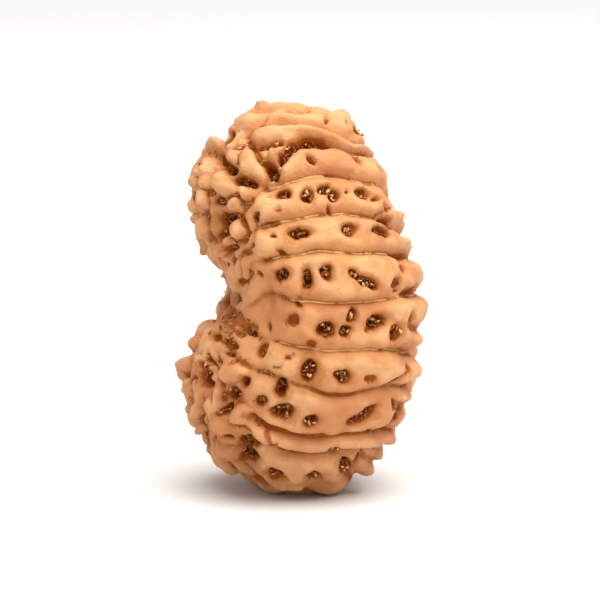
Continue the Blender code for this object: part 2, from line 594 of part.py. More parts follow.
def hidden_knobs():
    """Knobs in the lumpy ground that the view doesn't show, pointing at their pole."""
    knobs = []
    for s, rng in hidden_places(SEED + 2, HIDDEN_KNOB_SPACING, lambda some: knobby(some) > 0.5):
        middle, normal = envelope(s[None])[0], outward(s[None])[0]
        along = unit(np.cross(np.cross(normal, POLE_AXIS + 0.01 * RIB_UP), normal))
        half = rng.uniform(0.1, 0.6) * along
        radius, high = rng.uniform(0.7, 1.0), rng.uniform(0.1, 0.4)
        knobs.append((middle - half, middle + half, radius, high))
    return knobs


def pit_depths(points, pits):
    """How deep the pits cut, and how deep the skin dips round them."""
    waves = [noise(points, 0.9, seed) + 0.5 * noise(points, 0.35, seed) for seed in (51, 52, 53)]
    moved = points + PIT_EDGE * np.stack(waves, axis=1)
    depth = np.zeros(len(points))
    dimple = np.zeros(len(points))
    for middle, first, second, normal, deep in pits:
        offset = moved - middle
        close = np.flatnonzero((offset**2).sum(axis=1) < (3.0 * np.linalg.norm(first) + 1.0) ** 2)
        offset = offset[close]
        inverse = np.linalg.inv(np.stack((first, second, normal), axis=1))
        a, b, rise = (offset @ inverse.T).T
        q = np.sqrt(a * a + b * b)
        same_side = ease(3.0, 1.5, np.abs(rise))
        depth[close] = np.maximum(depth[close], deep / (1.0 + (q / 0.92) ** 7) * same_side)
        dip = DIMPLE_DEPTH * deep * np.exp(-((q / DIMPLE_REACH) ** 2)) * same_side
        dimple[close] = np.maximum(dimple[close], dip)
    return np.stack((depth, dimple))


def distance_to(points, start, end):
    run = end - start
    offset = points - start
    share = np.clip(offset @ run / max(run @ run, 1e-9), 0.0, 1.0)
    return np.linalg.norm(offset - share[:, None] * run, axis=1)


def knob_heights(points, floor, knobs):
    """Heights of the knobs above the floor, running into each other where they meet."""
    height = np.zeros(len(points))
    waves = [noise(points, 1.2, seed) + 0.35 * noise(points, 0.6, seed) for seed in (61, 62, 63)]
    moved = points + KNOB_WANDER * np.stack(waves, axis=1)
    for start, end, radius, high in knobs:
        q = distance_to(moved, start, end) / radius
        height += ((high + floor) * ease(KNOB_SKIRT, KNOB_TOP, q)) ** 3
    return np.cbrt(height)


def crease_depths(points, creases):
    depth = np.zeros(len(points))
    for start, end, half_width, deep in creases:
        q = distance_to(points, start, end) / half_width
        depth = np.maximum(depth, deep * np.exp(-0.7 * q * q))
    return depth


def on_foot(points, fringe):
    """1 over the flat spot underneath, and 0 outside a fringe round it."""
    away = np.hypot(points[:, 0] - FOOT_MIDDLE[0], points[:, 1] - FOOT_MIDDLE[1])
    return (1.0 - ease(FOOT_RADIUS - 0.3, FOOT_RADIUS + fringe, away)) * (points[:, 2] < 0.0)


def surface(s):
    """The finished surface for unit vectors from the middle, cut flat at the foot."""
    points = envelope(s)
    normal = outward(s)
    wild = knobby(s)
    before, after = rib_place(s)
    shoulder = SHOULDER * (1.0 + 0.3 * noise(points, 2.2, 11) + 0.15 * noise(points, 0.9, 17))
    shoulder = np.minimum(shoulder, 0.5 * (before + after) + 0.05)
    rise = np.clip(np.minimum(before, after) / shoulder, 0.0, 1.0)
    edge_on = ease(-0.75, -0.2, normal @ VIEW_AWAY)
    groove = GROOVE_DEPTH * (1.0 + EDGE_ON_GROOVE * edge_on) * (1.0 - rise) ** 2.0
    relief = -groove * (1.0 - 0.85 * wild) * (1.0 - scar(s)) - KNOB_FLOOR * wild
    relief = relief + SWELL_HEIGHT * noise(points, SWELL_SIZE, 12)
    relief = relief + RIPPLE_HEIGHT * noise(points, RIPPLE_SIZE, 13)
    relief = relief + CRUMPLE_HEIGHT * wild * noise(points, CRUMPLE_SIZE, 16)
    relief = relief + LUMP_HEIGHT * (edge_on + 0.35) * noise(points, LUMP_SIZE, 14)
    relief = relief + knob_heights(points, KNOB_FLOOR * wild, front_lines(KNOBS) + hidden_knobs())
    clear = 1.0 - on_foot(points, 1.2)
    depth, dimple = clear * pit_depths(points, front_pits() + hidden_pits())
    cut_in = np.maximum(depth, crease_depths(points, front_lines(CREASES) + outline_creases()))
    relief = (relief - cut_in - dimple) * clear
    points = points + relief[:, None] * normal
    cut = FOOT_CUT - HALF_HEIGHT
    points[:, 2] = np.maximum(points[:, 2], cut)
    return points


def cube_sphere(cells):
    """Unit vectors and square faces of a cube's grid pushed out to a sphere."""
    edge = np.tan(np.linspace(-1.0, 1.0, cells + 1) * math.pi / 4.0)
    index = {}
    directions = []
    faces = []

    def vertex(grid_point):
        if grid_point not in index:
            index[grid_point] = len(directions)
            directions.append([edge[i] for i in grid_point])
        return index[grid_point]

    for axis in range(3):
        for end in (0, cells):
            for i in range(cells):
                for j in range(cells):
                    corners = []
                    for a, b in ((i, j), (i + 1, j), (i + 1, j + 1), (i, j + 1)):
                        place = [0, 0, 0]
                        place[axis] = end
                        place[(axis + 1) % 3] = a
                        place[(axis + 2) % 3] = b
                        corners.append(vertex(tuple(place)))
                    faces.append(corners if end else corners[::-1])
    return unit(np.array(directions)), faces


def stood_up(points):
    """The origin moved to the middle of the box's base."""
    low, high = points.min(axis=0), points.max(axis=0)
    middle = 0.5 * (low + high)
    return points - (middle[0], middle[1], low[2])


def woody_material():
    material = bpy.data.materials.new("woody_stone")
    material.use_nodes = True
    shader = material.node_tree.nodes["Principled BSDF"]
    shader.inputs["Base Color"].default_value = (0.58, 0.25, 0.095, 1.0)
    shader.inputs["Roughness"].default_value = 0.5
    shader.inputs["Metallic"].default_value = 0.0
    return material


def build_bead():
    directions, faces = cube_sphere(CELLS)
    points = stood_up(surface(directions))
    mesh = bpy.data.meshes.new(NODE)
    mesh.from_pydata((points * MM).tolist(), [], faces)
    mesh.shade_smooth()
    mesh.materials.append(woody_material())
    bead = bpy.data.objects.new(NODE, mesh)
    bpy.context.scene.collection.objects.link(bead)
    thin = bead.modifiers.new("thin", "DECIMATE")
    thin.ratio = TRIANGLES / (2.0 * len(faces))


for old in list(bpy.data.objects):
    bpy.data.objects.remove(old, do_unlink=True)
build_bead()
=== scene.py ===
import math

import bpy
import numpy as np
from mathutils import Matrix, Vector


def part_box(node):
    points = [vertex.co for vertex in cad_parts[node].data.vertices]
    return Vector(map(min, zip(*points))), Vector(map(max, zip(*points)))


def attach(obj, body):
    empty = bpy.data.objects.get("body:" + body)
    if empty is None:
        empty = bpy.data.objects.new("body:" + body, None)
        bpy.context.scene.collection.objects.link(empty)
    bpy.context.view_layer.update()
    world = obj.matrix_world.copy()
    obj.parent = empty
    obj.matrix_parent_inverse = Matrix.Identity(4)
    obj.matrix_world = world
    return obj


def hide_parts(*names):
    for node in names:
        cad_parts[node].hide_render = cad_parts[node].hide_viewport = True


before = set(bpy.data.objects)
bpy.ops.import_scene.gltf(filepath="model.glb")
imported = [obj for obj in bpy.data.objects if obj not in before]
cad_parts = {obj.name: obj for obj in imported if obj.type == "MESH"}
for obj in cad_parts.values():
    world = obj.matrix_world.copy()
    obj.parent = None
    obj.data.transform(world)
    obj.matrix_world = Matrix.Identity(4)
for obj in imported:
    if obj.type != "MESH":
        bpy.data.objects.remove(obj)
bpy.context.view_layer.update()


# The bead: the woody stone of an Elaeocarpus fruit, one piece of lignified shell grown
# in about twenty ribs that run from the pole in the notch to a pole behind on the right.
# The fruit's pulp has been soaked and brushed off, which leaves it pitted and smooth.

# Driving sizes of the smooth envelope that the tops of the ribs touch, in millimetres
HALF_WIDTH = 10.95
HALF_DEPTH = 12.3
HALF_HEIGHT = 17.6
BLUNTNESS = 2.2  # 2 is an ellipsoid, and more is squarer
CENTRE_LEAN = 0.6  # the middle stands this far to the right
TOP_LEAN = 1.15  # and the two lobes this far back to the left
FOOT_LEAN = 0.6
LOBE_HEIGHT = 12.0
LOBE_SPREAD = 5.4
WAIST = 0.09  # share of the width that the upper lobe loses under its crown
WAIST_HEIGHT = 7.5
WAIST_SPREAD = 4.5
HIP = 0.06  # and that the lower lobe gains
HIP_HEIGHT = -12.0
HIP_SPREAD = 4.5
NOTCH_DEPTH = 4.1
NOTCH_HEIGHT = 0.8
NOTCH_SPREAD = 4.0
NOTCH_FRONT = -5.5  # the notch is deepest in front of the left edge
NOTCH_REACH = 9.0  # towards the front, and further towards the back
NOTCH_BACK_REACH = 30.0
FOOT_MIDDLE = (0.8, 0.1)  # the flat spot that the bead rests on lies under its weight
FOOT_RADIUS = 3.1
FOOT_CUT = 0.45  # how far the cut lies above the envelope's lowest point

# Ribs, knobs and surface, in millimetres
GROOVE_DEPTH = 0.9
SHOULDER = 1.3  # a rib reaches its full height this far from its seam
BACK_RIBS = 11  # between the wide rib over the foot and the one over the crown
FOOT_RIB = 0.5  # how far those two reach round the bead, as turns in radians
TOP_RIB = 0.4
SEAM_WAVE = 0.12
SWELL_SIZE = 3.4
SWELL_HEIGHT = 0.28
LUMP_SIZE = 1.9  # the ribs are lumpier away from the front
LUMP_HEIGHT = 0.28
RIPPLE_SIZE = 1.15
RIPPLE_HEIGHT = 0.13
CRUMPLE_SIZE = 0.85  # the ground round the poles is crumpled too
CRUMPLE_HEIGHT = 0.13
KNOB_FLOOR = 0.65  # how far the ground between the knobs lies below the envelope
KNOB_TOP = 0.35  # a knob is flat over this share of its radius
KNOB_SKIRT = 1.4  # and its foot reaches this many radii
KNOB_WANDER = 0.22  # its outline strays this far
EDGE_ON_GROOVE = 0.4  # the grooves are this much deeper away from the front
PIT_EDGE = 0.16  # waviness of a pit's edge
DIMPLE_DEPTH = 0.3  # the skin dips this far round a pit a millimetre deep
DIMPLE_REACH = 1.75  # and this many times as wide as the pit
HIDDEN_PIT_SPACING = 2.9
HIDDEN_KNOB_SPACING = 2.5

# Where the ribs meet, as turns about the upright from +X: in the notch, and far behind on
# the right. The pole in the notch lies a little low
NOTCH_POLE = math.radians(-155.0)
FAR_POLE = math.radians(62.0)
POLE_DIP = math.radians(3.0)

# The front view that the places below are given in looks from a little above
VIEW_ELEVATION = math.radians(10.0)

# Seams between the ribs in front, from the top down. All places below are in the front
# view: millimetres to the right of the bead's middle, and above it
SEAMS = (
    ((-2.9, 15.5), (-0.9, 15.8), (2, 15.6), (3.8, 15), (5.7, 14.2)),
    ((-1.7, 10.6), (-1.5, 12), (-0.3, 13.6), (1.2, 14.3), (3.5, 13.9), (5.1, 13.3)),
    ((-7.4, 3.9), (-6, 6.4), (-4.9, 8.6), (-2.9, 9.8), (0.4, 10.7), (2.7, 11.3), (4.9, 10.8), (8.9, 8.6)),
    ((-4.3, 5.9), (-1.5, 6.8), (0.4, 7.1), (2.2, 7.6), (4.4, 7.7), (7.4, 7.2), (9.3, 6.4), (10.3, 6.1)),
    ((-4.6, 2.7), (-3.1, 3.1), (-1.3, 3.7), (0.4, 3.9), (2.2, 4.4), (4.9, 4), (8.7, 4.2), (11, 3.8)),
    ((-3.6, -0), (-0.4, -0.3), (2.7, -0.4), (5.5, -0.4), (8.4, 0), (10.4, 0.5), (11.6, 0.5)),
    ((-2.9, -3.2), (-0.4, -4.1), (2.2, -4.7), (6.2, -4.4), (8.9, -4.5), (10.5, -4.8), (11.6, -4.7)),
    ((-4.4, -6.3), (-2.9, -6.4), (-0.4, -7.5), (3.2, -8.7), (5.6, -8.3), (8.4, -7.6), (11.2, -7.3)),
    ((-4.4, -10), (-2.9, -11.3), (-0.9, -12), (1.8, -12.5), (4.4, -12.2), (6.8, -11.9), (9.2, -11.4)),
    ((-2.4, -13.1), (-0.4, -13.8), (1.3, -14), (3.1, -13.7), (6.2, -13.3), (8.4, -13.3)),
)

# Pits in front: place, half length and half width, tilt in degrees from the horizontal,
# and depth in millimetres
PITS = (
    (0.3, 16.7, 0.75, 0.35, 5, 0.9),
    (2.9, 16.1, 0.3, 0.25, 0, 0.5),
    (5.3, 14.4, 0.5, 0.2, -38, 0.5),
    (1.8, 14.2, 1.5, 0.42, -6, 1.3),
    (-0.3, 13.7, 0.9, 0.42, 38, 1.2),
    (-1.15, 12.8, 0.5, 0.36, 70, 1.2),
    (-2.0, 11.4, 0.9, 0.45, -58, 1.3),
    (1.5, 12.35, 0.6, 0.25, -45, 0.65),
    (5.8, 12.8, 0.75, 0.3, -55, 0.6),
    (-3.5, 7.3, 0.5, 0.26, 60, 0.8),
    (-2.2, 9.1, 0.35, 0.2, 0, 0.3),
    (-0.9, 9.3, 0.65, 0.5, 10, 1.1),
    (1.2, 9.1, 0.62, 0.58, 0, 1.1),
    (2.7, 9.8, 0.6, 0.45, 30, 1.1),
    (3.5, 9.2, 0.5, 0.45, 0, 1),
    (3.3, 8.1, 0.35, 0.2, -70, 0.5),
    (4.7, 9.4, 0.22, 0.2, 0, 0.5),
    (6.4, 9.4, 0.65, 0.42, -10, 1.1),
    (7.3, 9, 0.28, 0.18, -10, 0.5),
    (8.2, 8.1, 0.42, 0.18, -35, 0.5),
    (8.5, 6.9, 0.6, 0.45, -30, 1.1),
    (-1.5, 7.8, 0.32, 0.2, 20, 0.3),
    (-2, 6.7, 0.7, 0.18, 5, 0.4),
    (-2, 5.6, 0.32, 0.22, 30, 0.5),
    (-1.3, 4.1, 0.5, 0.2, -30, 0.5),
    (0.5, 5.8, 0.95, 0.42, 5, 1.2),
    (4.9, 6.2, 0.7, 0.45, 0, 1.1),
    (7.8, 6, 0.8, 0.4, -8, 1.2),
    (-6.2, 2.8, 0.26, 0.2, 0, 0.4),
    (-3.7, 1.9, 0.36, 0.26, 0, 0.3),
    (-4.9, 1.3, 0.32, 0.24, 0, 0.5),
    (-5.5, 0.8, 0.26, 0.2, 0, 0.5),
    (-1.3, 2, 0.7, 0.5, 15, 1.2),
    (1, 1.7, 0.85, 0.42, 85, 1.25),
    (2.9, 2.4, 0.66, 0.5, 90, 1.1),
    (5.2, 2.3, 0.5, 0.35, -45, 1),
    (6.4, 1.5, 1.1, 0.4, -20, 1.2),
    (9.8, 2.8, 0.5, 0.26, -60, 0.8),
    (9.2, 1.5, 0.5, 0.35, 70, 0.9),
    (9.3, 0.8, 0.3, 0.2, 0, 0.5),
    (0.4, 0.1, 0.32, 0.18, 0, 0.3),
    (-2.8, -2.2, 0.32, 0.2, 80, 0.4),
    (-0.3, -1.8, 0.75, 0.55, 30, 0.6),
    (0.3, -0.6, 0.42, 0.2, -20, 0.5),
    (2.8, -2.7, 0.75, 0.7, 0, 1.2),
    (5.2, -1.5, 0.75, 0.36, 80, 1.1),
    (4.5, -2.8, 0.55, 0.42, 20, 1.2),
    (7.6, -2, 0.85, 0.55, 15, 1.25),
    (6.8, -2.7, 0.32, 0.2, 40, 0.6),
    (9.2, -3, 0.7, 0.45, 80, 1.1),
    (10.4, -1.8, 0.65, 0.35, 80, 1),
    (1.5, -4, 0.6, 0.4, 0, 0.5),
    (-3.4, -4.4, 0.8, 0.5, 80, 0.8),
    (-0.7, -5.3, 0.36, 0.26, 0, 0.4),
    (-0.1, -5, 0.22, 0.2, 0, 0.3),
    (-1.6, -6, 0.36, 0.2, 0, 0.3),
    (1.2, -6.4, 1, 0.72, 80, 1.3),
    (4.3, -6.9, 0.66, 0.64, 0, 1.1),
    (6.7, -7, 0.6, 0.4, 0, 0.5),
    (9, -7.2, 0.55, 0.22, 35, 0.7),
    (10, -6.3, 0.5, 0.22, 60, 0.7),
    (-1.3, -8.1, 0.68, 0.56, 85, 1.3),
    (-3.2, -9.3, 0.62, 0.5, 15, 0.9),
    (-1.1, -10, 1.1, 0.6, 10, 1.2),
    (1.3, -10.8, 0.62, 0.52, 0, 1.1),
    (6, -10.4, 1.45, 0.42, 34, 1.2),
    (8.8, -9.3, 0.5, 0.26, 85, 0.8),
    (9.3, -9.9, 0.46, 0.36, 40, 0.9),
    (8.9, -10.5, 0.46, 0.3, 40, 0.9),
    (8.2, -11.3, 0.56, 0.3, 45, 0.8),
    (-1.8, -12.8, 0.32, 0.2, 60, 0.5),
    (-3.6, -13, 0.46, 0.36, 45, 0.9),
    (3.6, -13.5, 0.55, 0.42, 0, 0.9),
    (6.8, -11.9, 0.22, 0.2, 0, 0.4),
    (-1.7, -15.9, 0.8, 0.5, -10, 1.1),
    (1.7, -15.8, 0.62, 0.5, 0, 1),
    (4.6, -15, 0.64, 0.6, 85, 1.1),
    (5.6, -14.3, 0.55, 0.26, 45, 0.9),
    (-6.75, 12.6, 0.95, 0.4, -50, 1.3),
    (-5.85, 11.6, 0.55, 0.36, -60, 1.2),
    (-4.6, 10.4, 0.95, 0.4, -5, 1.2),
    (-7.1, 8.8, 0.5, 0.44, 0, 1),
    (-6.7, 6.9, 0.85, 0.7, 40, 1.4),
    (-6.9, 5.6, 0.8, 0.55, 75, 1.3),
    (-6.05, 4.35, 0.5, 0.32, 40, 0.7),
    (-4.6, 3.8, 0.55, 0.4, 30, 0.4),
    (-5.3, 0.1, 0.5, 0.5, 0, 0.7),
    (-5.3, -1.5, 1.3, 0.7, -38, 0.3),
    (-4.4, -2.4, 0.4, 0.28, -38, 0.8),
    (-7, -3.2, 0.34, 0.32, 0, 1.2),
    (-5.8, -3.6, 0.5, 0.3, -45, 0.7),
    (-6.1, -4.6, 0.3, 0.28, 0, 0.7),
    (-7.8, -5.2, 0.3, 0.26, 0, 0.6),
    (-6.8, -5.4, 0.3, 0.26, 0, 0.6),
    (-8.2, -6.8, 1, 0.66, 85, 1.3),
    (-4.7, -7.4, 0.5, 0.36, 85, 1),
    (-6.1, -8.6, 0.6, 0.5, 40, 1.2),
    (-6.5, -9.9, 0.5, 0.36, 60, 1),
    (-8.8, -9.9, 0.5, 0.36, 60, 0.5),
    (-8.2, -10.9, 0.56, 0.26, 85, 0.8),
    (-4.7, -13.3, 0.8, 0.65, 60, 1.5),
    (-4.4, -14.6, 0.85, 0.65, 20, 1.5),
)

# Creases in front: the points along each, its half width and its depth in millimetres
CREASES = (
    (((-5.3, 15.4), (-5.7, 14.5), (-6.6, 13.9)), 0.24, 1.1),
    (((-2.5, 15.9), (-3.0, 15.5)), 0.18, 0.4),
    (((4.6, 15.7), (5.3, 15.0)), 0.18, 0.4),
    (((4.8, 14.8), (5.7, 14.2)), 0.16, 0.35),
    (((5.4, 13.2), (6.2, 12.1)), 0.22, 0.6),
    (((2.8, 15.6), (3.7, 15.2)), 0.2, 0.4),
    (((3.2, 11.3), (5.4, 11.0)), 0.3, 0.3),
    (((-8.25, 12.0), (-8.35, 10.9)), 0.18, 0.8),
    (((-7.0, 12.2), (-7.0, 11.2), (-7.5, 10.2), (-7.7, 9.5)), 0.22, 0.8),
    (((-6.0, 13.0), (-4.6, 13.5)), 0.22, 0.9),
    (((-4.2, 14.3), (-3.9, 13.7), (-3.4, 13.0), (-3.1, 12.3), (-2.5, 11.9)), 0.24, 0.7),
    (((-3.2, 13.25), (-2.3, 13.4), (-1.2, 13.9)), 0.24, 0.8),
    (((-5.3, 10.4), (-4.9, 10.2)), 0.2, 0.5),
    (((-8.1, 8.1), (-8.9, 7.2), (-8.95, 6.2), (-8.6, 5.5)), 0.2, 0.7),
    (((-4.9, 6.9), (-4.5, 5.9), (-4.8, 5.1)), 0.25, 0.4),
    (((-4.0, 4.7), (-4.9, 3.9), (-5.9, 3.0)), 0.25, 0.35),
    (((-6.0, -0.7), (-3.9, -2.2)), 0.17, 0.45),
    (((-6.3, -1.1), (-4.2, -2.7)), 0.17, 0.5),
    (((-6.5, -1.7), (-4.9, -2.9)), 0.17, 0.45),
    (((-6.6, -2.6), (-5.9, -3.0), (-5.3, -4.0)), 0.13, 0.4),
    (((-6.5, -3.4), (-5.9, -4.2)), 0.22, 0.5),
    (((-7.7, -4.7), (-7.4, -5.7)), 0.16, 0.4),
    (((-7.0, -5.0), (-6.8, -5.7)), 0.13, 0.35),
    (((-8.4, -5.7), (-7.8, -6.3), (-7.4, -7.0)), 0.3, 1.1),
    (((-9.0, -6.9), (-9.5, -6.9)), 0.2, 0.5),
    (((-8.4, -11.8), (-7.5, -12.0), (-6.0, -12.5)), 0.24, 0.9),
    (((-4.5, -10.2), (-3.6, -11.0), (-2.4, -11.6), (-1.0, -11.9)), 0.4, 0.4),
    (((-2.6, -11.7), (-2.0, -13.0)), 0.3, 0.5),
    (((-1.2, -13.5), (0.0, -13.9), (3.0, -13.7)), 0.25, 0.5),
    (((-1.0, -11.9), (0.6, -12.2), (2.4, -12.3)), 0.3, 0.45),
    (((8.9, 6.6), (9.6, 6.3)), 0.35, 0.5),
    (((9.5, 4.0), (10.4, 4.1)), 0.35, 0.6),
    (((10.2, 0.6), (11.2, 0.8)), 0.4, 0.8),
    (((10.6, -2.5), (11.4, -2.8)), 0.4, 0.6),
    (((8.5, -7.4), (9.4, -6.9), (10.2, -5.9)), 0.18, 0.5),
    (((9.2, -9.2), (10.3, -9.5)), 0.35, 0.6),
    (((6.2, -14.1), (7.3, -14.6)), 0.35, 0.6),
    (((5.4, -14.7), (6.0, -14.0), (6.5, -13.4)), 0.22, 0.7),
    (((4.6, -15.5), (5.2, -16.2)), 0.4, 0.7),
    (((8.6, 8.2), (7.6, 7.6)), 0.2, 0.5),
    (((-2.7, -16.8), (-4.2, -16.3)), 0.6, 0.6),
)

# Creases that cross the outline: place, half width and depth in millimetres
OUTLINE_CREASES = (
    (-6.6, 14.8, 0.42, 1.4),
    (-10.0, -4.8, 0.4, 0.9),
    (5.7, 15.2, 0.5, 0.5),
    (9.6, 6.1, 0.4, 0.8),
    (10.3, 4.1, 0.4, 0.6),
    (11.0, 0.8, 0.45, 0.7),
    (7.1, -14.5, 0.4, 0.6),
    (5.6, -15.8, 0.45, 0.7),
)
OUTLINE_RUN = 3.0  # how far each reaches in front of the outline, and behind it

# Knobs and ridges in front: the points along each, its radius and its height in millimetres
KNOBS = (
    (((-4.9, 15.7), (-4.1, 15.5)), 1.05, 0.55),
    (((-5.65, 15.4), (-5.75, 14.8)), 0.3, 0.45),
    (((-7.8, 13.75), (-7.0, 14.2)), 0.85, 0.5),
    (((-4.95, 14.2), (-5.95, 13.5)), 0.6, 0.5),
    (((-5.3, 12.7), (-5.6, 12.1)), 0.55, 0.45),
    (((-4.2, 12.3), (-4.1, 11.5)), 0.8, 0.6),
    (((-4.1, 11.5), (-2.8, 10.8)), 0.65, 0.45),
    (((-1.95, 12.6), (-1.9, 12.45)), 0.5, 0.6),
    (((-2.9, 14.2), (-1.9, 14.5)), 1.0, 0.45),
    (((-1.6, 14.9), (0.5, 15.2), (2.6, 15.2)), 0.5, 0.25),
    (((-8.8, 12.3), (-8.85, 11.3)), 0.5, 0.3),
    (((-7.75, 12.5), (-7.7, 11.4), (-8.0, 10.2)), 0.5, 0.5),
    (((-6.7, 10.5), (-6.1, 9.9)), 0.95, 0.5),
    (((-8.2, 9.4), (-8.1, 8.2)), 0.45, 0.35),
    (((-4.7, 9.8), (-4.65, 9.4)), 0.4, 0.4),
    (((-5.5, 8.5), (-5.5, 8.2)), 0.65, 0.45),
    (((-8.15, 6.6), (-8.1, 5.7)), 0.65, 0.5),
    (((-9.2, 7.2), (-9.2, 5.9)), 0.4, 0.3),
    (((-8.7, 5.4), (-8.4, 4.4)), 0.7, 0.8),
    (((-5.5, 6.5), (-5.3, 5.8)), 0.65, 0.4),
    (((-6.0, 5.0), (-6.8, 4.0)), 0.45, 0.4),
    (((-2.9, 8.6), (-2.7, 7.7)), 0.95, 0.45),
    (((-3.0, 5.1), (-2.6, 4.4)), 0.9, 0.4),
    (((-6.8, -0.7), (-7.6, -2.4), (-7.6, -3.8)), 0.5, 0.15),
    (((-7.5, -3.8), (-7.0, -5.4)), 0.35, 0.25),
    (((-8.6, -3.2), (-9.1, -4.0)), 0.8, 0.5),
    (((-9.9, -5.4), (-9.6, -5.7)), 0.7, 0.5),
    (((-8.6, -5.2), (-7.6, -6.2), (-7.1, -7.1), (-7.1, -8.9)), 0.4, 0.45),
    (((-9.8, -7.4), (-9.8, -8.3)), 0.55, 0.45),
    (((-8.7, -7.9), (-8.6, -9.2)), 0.4, 0.3),
    (((-9.4, -9.9), (-9.4, -10.4)), 0.65, 0.45),
    (((-7.4, -9.4), (-6.9, -11.2)), 1.0, 0.25),
    (((-8.9, -11.8), (-8.9, -12.0)), 0.45, 0.4),
    (((-6.3, -6.8), (-5.2, -6.4)), 0.8, 0.3),
    (((-5.5, -10.4), (-4.9, -10.1)), 0.8, 0.4),
    (((-3.3, -12.0), (-2.3, -12.5)), 0.75, 0.4),
    (((-6.8, -13.9), (-6.0, -14.2)), 1.2, 0.35),
    (((-8.5, -12.7), (-7.2, -14.5)), 0.9, 0.45),
    (((-2.2, -16.4), (-1.2, -16.9), (0.2, -16.8)), 0.6, 0.25),
    (((-3.2, 17.1), (-2.9, 17.0)), 0.5, 0.45),
    (((-2.3, 15.8), (-1.2, 16.6), (-0.6, 16.9)), 0.6, 0.3),
    (((1.5, 17.0), (2.0, 16.8)), 0.6, 0.4),
    (((4.2, 16.2), (4.4, 16.0)), 0.8, 0.4),
    (((7.1, 12.8), (7.2, 12.7)), 0.4, 0.3),
    (((8.7, 8.9), (8.5, 9.4)), 0.7, 0.25),
    (((9.2, 7.7), (9.3, 7.4)), 0.8, 0.3),
    (((10.0, 5.2), (10.1, 4.9)), 0.85, 0.5),
    (((10.9, 2.5), (11.0, 2.1)), 0.8, 0.2),
    (((11.3, -1.0), (11.3, -1.3)), 0.7, 0.1),
    (((11.0, -3.6), (11.0, -3.9)), 0.8, 0.3),
    (((10.8, -6.2), (10.7, -6.6)), 0.7, 0.1),
    (((8.6, -12.0), (8.5, -12.4)), 0.85, 0.4),
    (((7.8, -13.6), (7.7, -13.9)), 0.8, 0.4),
    (((6.5, -15.0), (6.4, -15.3)), 0.8, 0.4),
)

MM = 0.001
SEED = 21


def unit(v):
    return v / np.linalg.norm(v, axis=-1, keepdims=True)


def ease(low, high, v):
    """0 below low, 1 above high, and smooth between them."""
    t = np.clip((v - low) / (high - low), 0.0, 1.0)
    return t * t * (3.0 - 2.0 * t)


def noise(points, size, seed):
    """Smooth noise from -1 to 1, with lumps of about the given size."""
    q = points / size + 37.0
    cell = np.floor(q).astype(np.int64)
    f = q - cell
    f = f * f * f * (f * (6.0 * f - 15.0) + 10.0)
    total = np.zeros(len(points))
    for corner in np.ndindex(2, 2, 2):
        i, j, k = (cell + corner).T
        h = (i * 374761393 + j * 668265263 + k * 1442695041 + seed * 97531) & 0xFFFFFFFF
        h = ((h ^ (h >> 13)) * 1274126177) & 0xFFFFFFFF
        value = (h ^ (h >> 16)) / 2147483648.0 - 1.0
        share = np.where(np.array(corner) == 1, f, 1.0 - f).prod(axis=1)
        total += value * share
    return total


def envelope(s):
    """The smooth kidney that the ribs touch, for unit vectors from the middle."""
    p = s / (np.abs(s) ** BLUNTNESS).sum(axis=1, keepdims=True) ** (1.0 / BLUNTNESS)
    x, y, z = (p * (HALF_WIDTH, HALF_DEPTH, HALF_HEIGHT)).T
    x = x * (1.0 - WAIST * np.exp(-(((z - WAIST_HEIGHT) / WAIST_SPREAD) ** 2)))
    x = x * (1.0 + HIP * np.exp(-(((z - HIP_HEIGHT) / HIP_SPREAD) ** 2)))
    x = x + CENTRE_LEAN
    x = x - TOP_LEAN * np.exp(-(((z - LOBE_HEIGHT) / LOBE_SPREAD) ** 2))
    x = x - FOOT_LEAN * np.exp(-(((z + LOBE_HEIGHT) / LOBE_SPREAD) ** 2))
    back = y - NOTCH_FRONT
    sideways = back / np.where(back < 0.0, NOTCH_REACH, NOTCH_BACK_REACH)
    reach = ((z - NOTCH_HEIGHT) / NOTCH_SPREAD) ** 2 + sideways**2
    x = x + NOTCH_DEPTH * np.exp(-reach) * ease(0.35, -0.6, s[:, 0])
    return np.stack((x, y, z), axis=1)


def outward(s):
    """The envelope's normal."""
    step = 0.01
    side = unit(np.cross(s, np.where(np.abs(s[:, 2:]) < 0.8, (0.0, 0.0, 1.0), (1.0, 0.0, 0.0))))
    up = np.cross(s, side)
    across = envelope(unit(s + step * side)) - envelope(unit(s - step * side))
    along = envelope(unit(s + step * up)) - envelope(unit(s - step * up))
    return unit(np.cross(across, along))


# The view's axes, and the rib axes about the pole in the notch
VIEW_RIGHT = np.array((1.0, 0.0, 0.0))
VIEW_UP = np.array((0.0, math.sin(VIEW_ELEVATION), math.cos(VIEW_ELEVATION)))
VIEW_AWAY = np.array((0.0, math.cos(VIEW_ELEVATION), -math.sin(VIEW_ELEVATION)))
POLE_AXIS = np.array((
    math.cos(POLE_DIP) * math.cos(NOTCH_POLE),
    math.cos(POLE_DIP) * math.sin(NOTCH_POLE),
    -math.sin(POLE_DIP),
))
RIB_UP = unit(np.array((0.0, 0.0, 1.0)) - POLE_AXIS[2] * POLE_AXIS)
RIB_FRONT = np.cross(POLE_AXIS, RIB_UP)
RIB_FRONT = RIB_FRONT * -np.sign(RIB_FRONT[1])


def even_directions(count):
    """Unit vectors spread evenly over a sphere, on a spiral."""
    i = np.arange(count) + 0.5
    z = 1.0 - 2.0 * i / count
    turn = math.pi * (1.0 + math.sqrt(5.0)) * i
    ring = np.sqrt(1.0 - z * z)
    return np.stack((ring * np.cos(turn), ring * np.sin(turn), z), axis=1)


def seen_directions():
    """Directions that the front view sees, and their places in it in millimetres."""
    s = even_directions(160000)
    s = s[outward(s) @ VIEW_AWAY < 0.0]
    points = envelope(s)
    return s, np.stack((points @ VIEW_RIGHT, points @ VIEW_UP), axis=1)


SEEN, SEEN_AT = seen_directions()


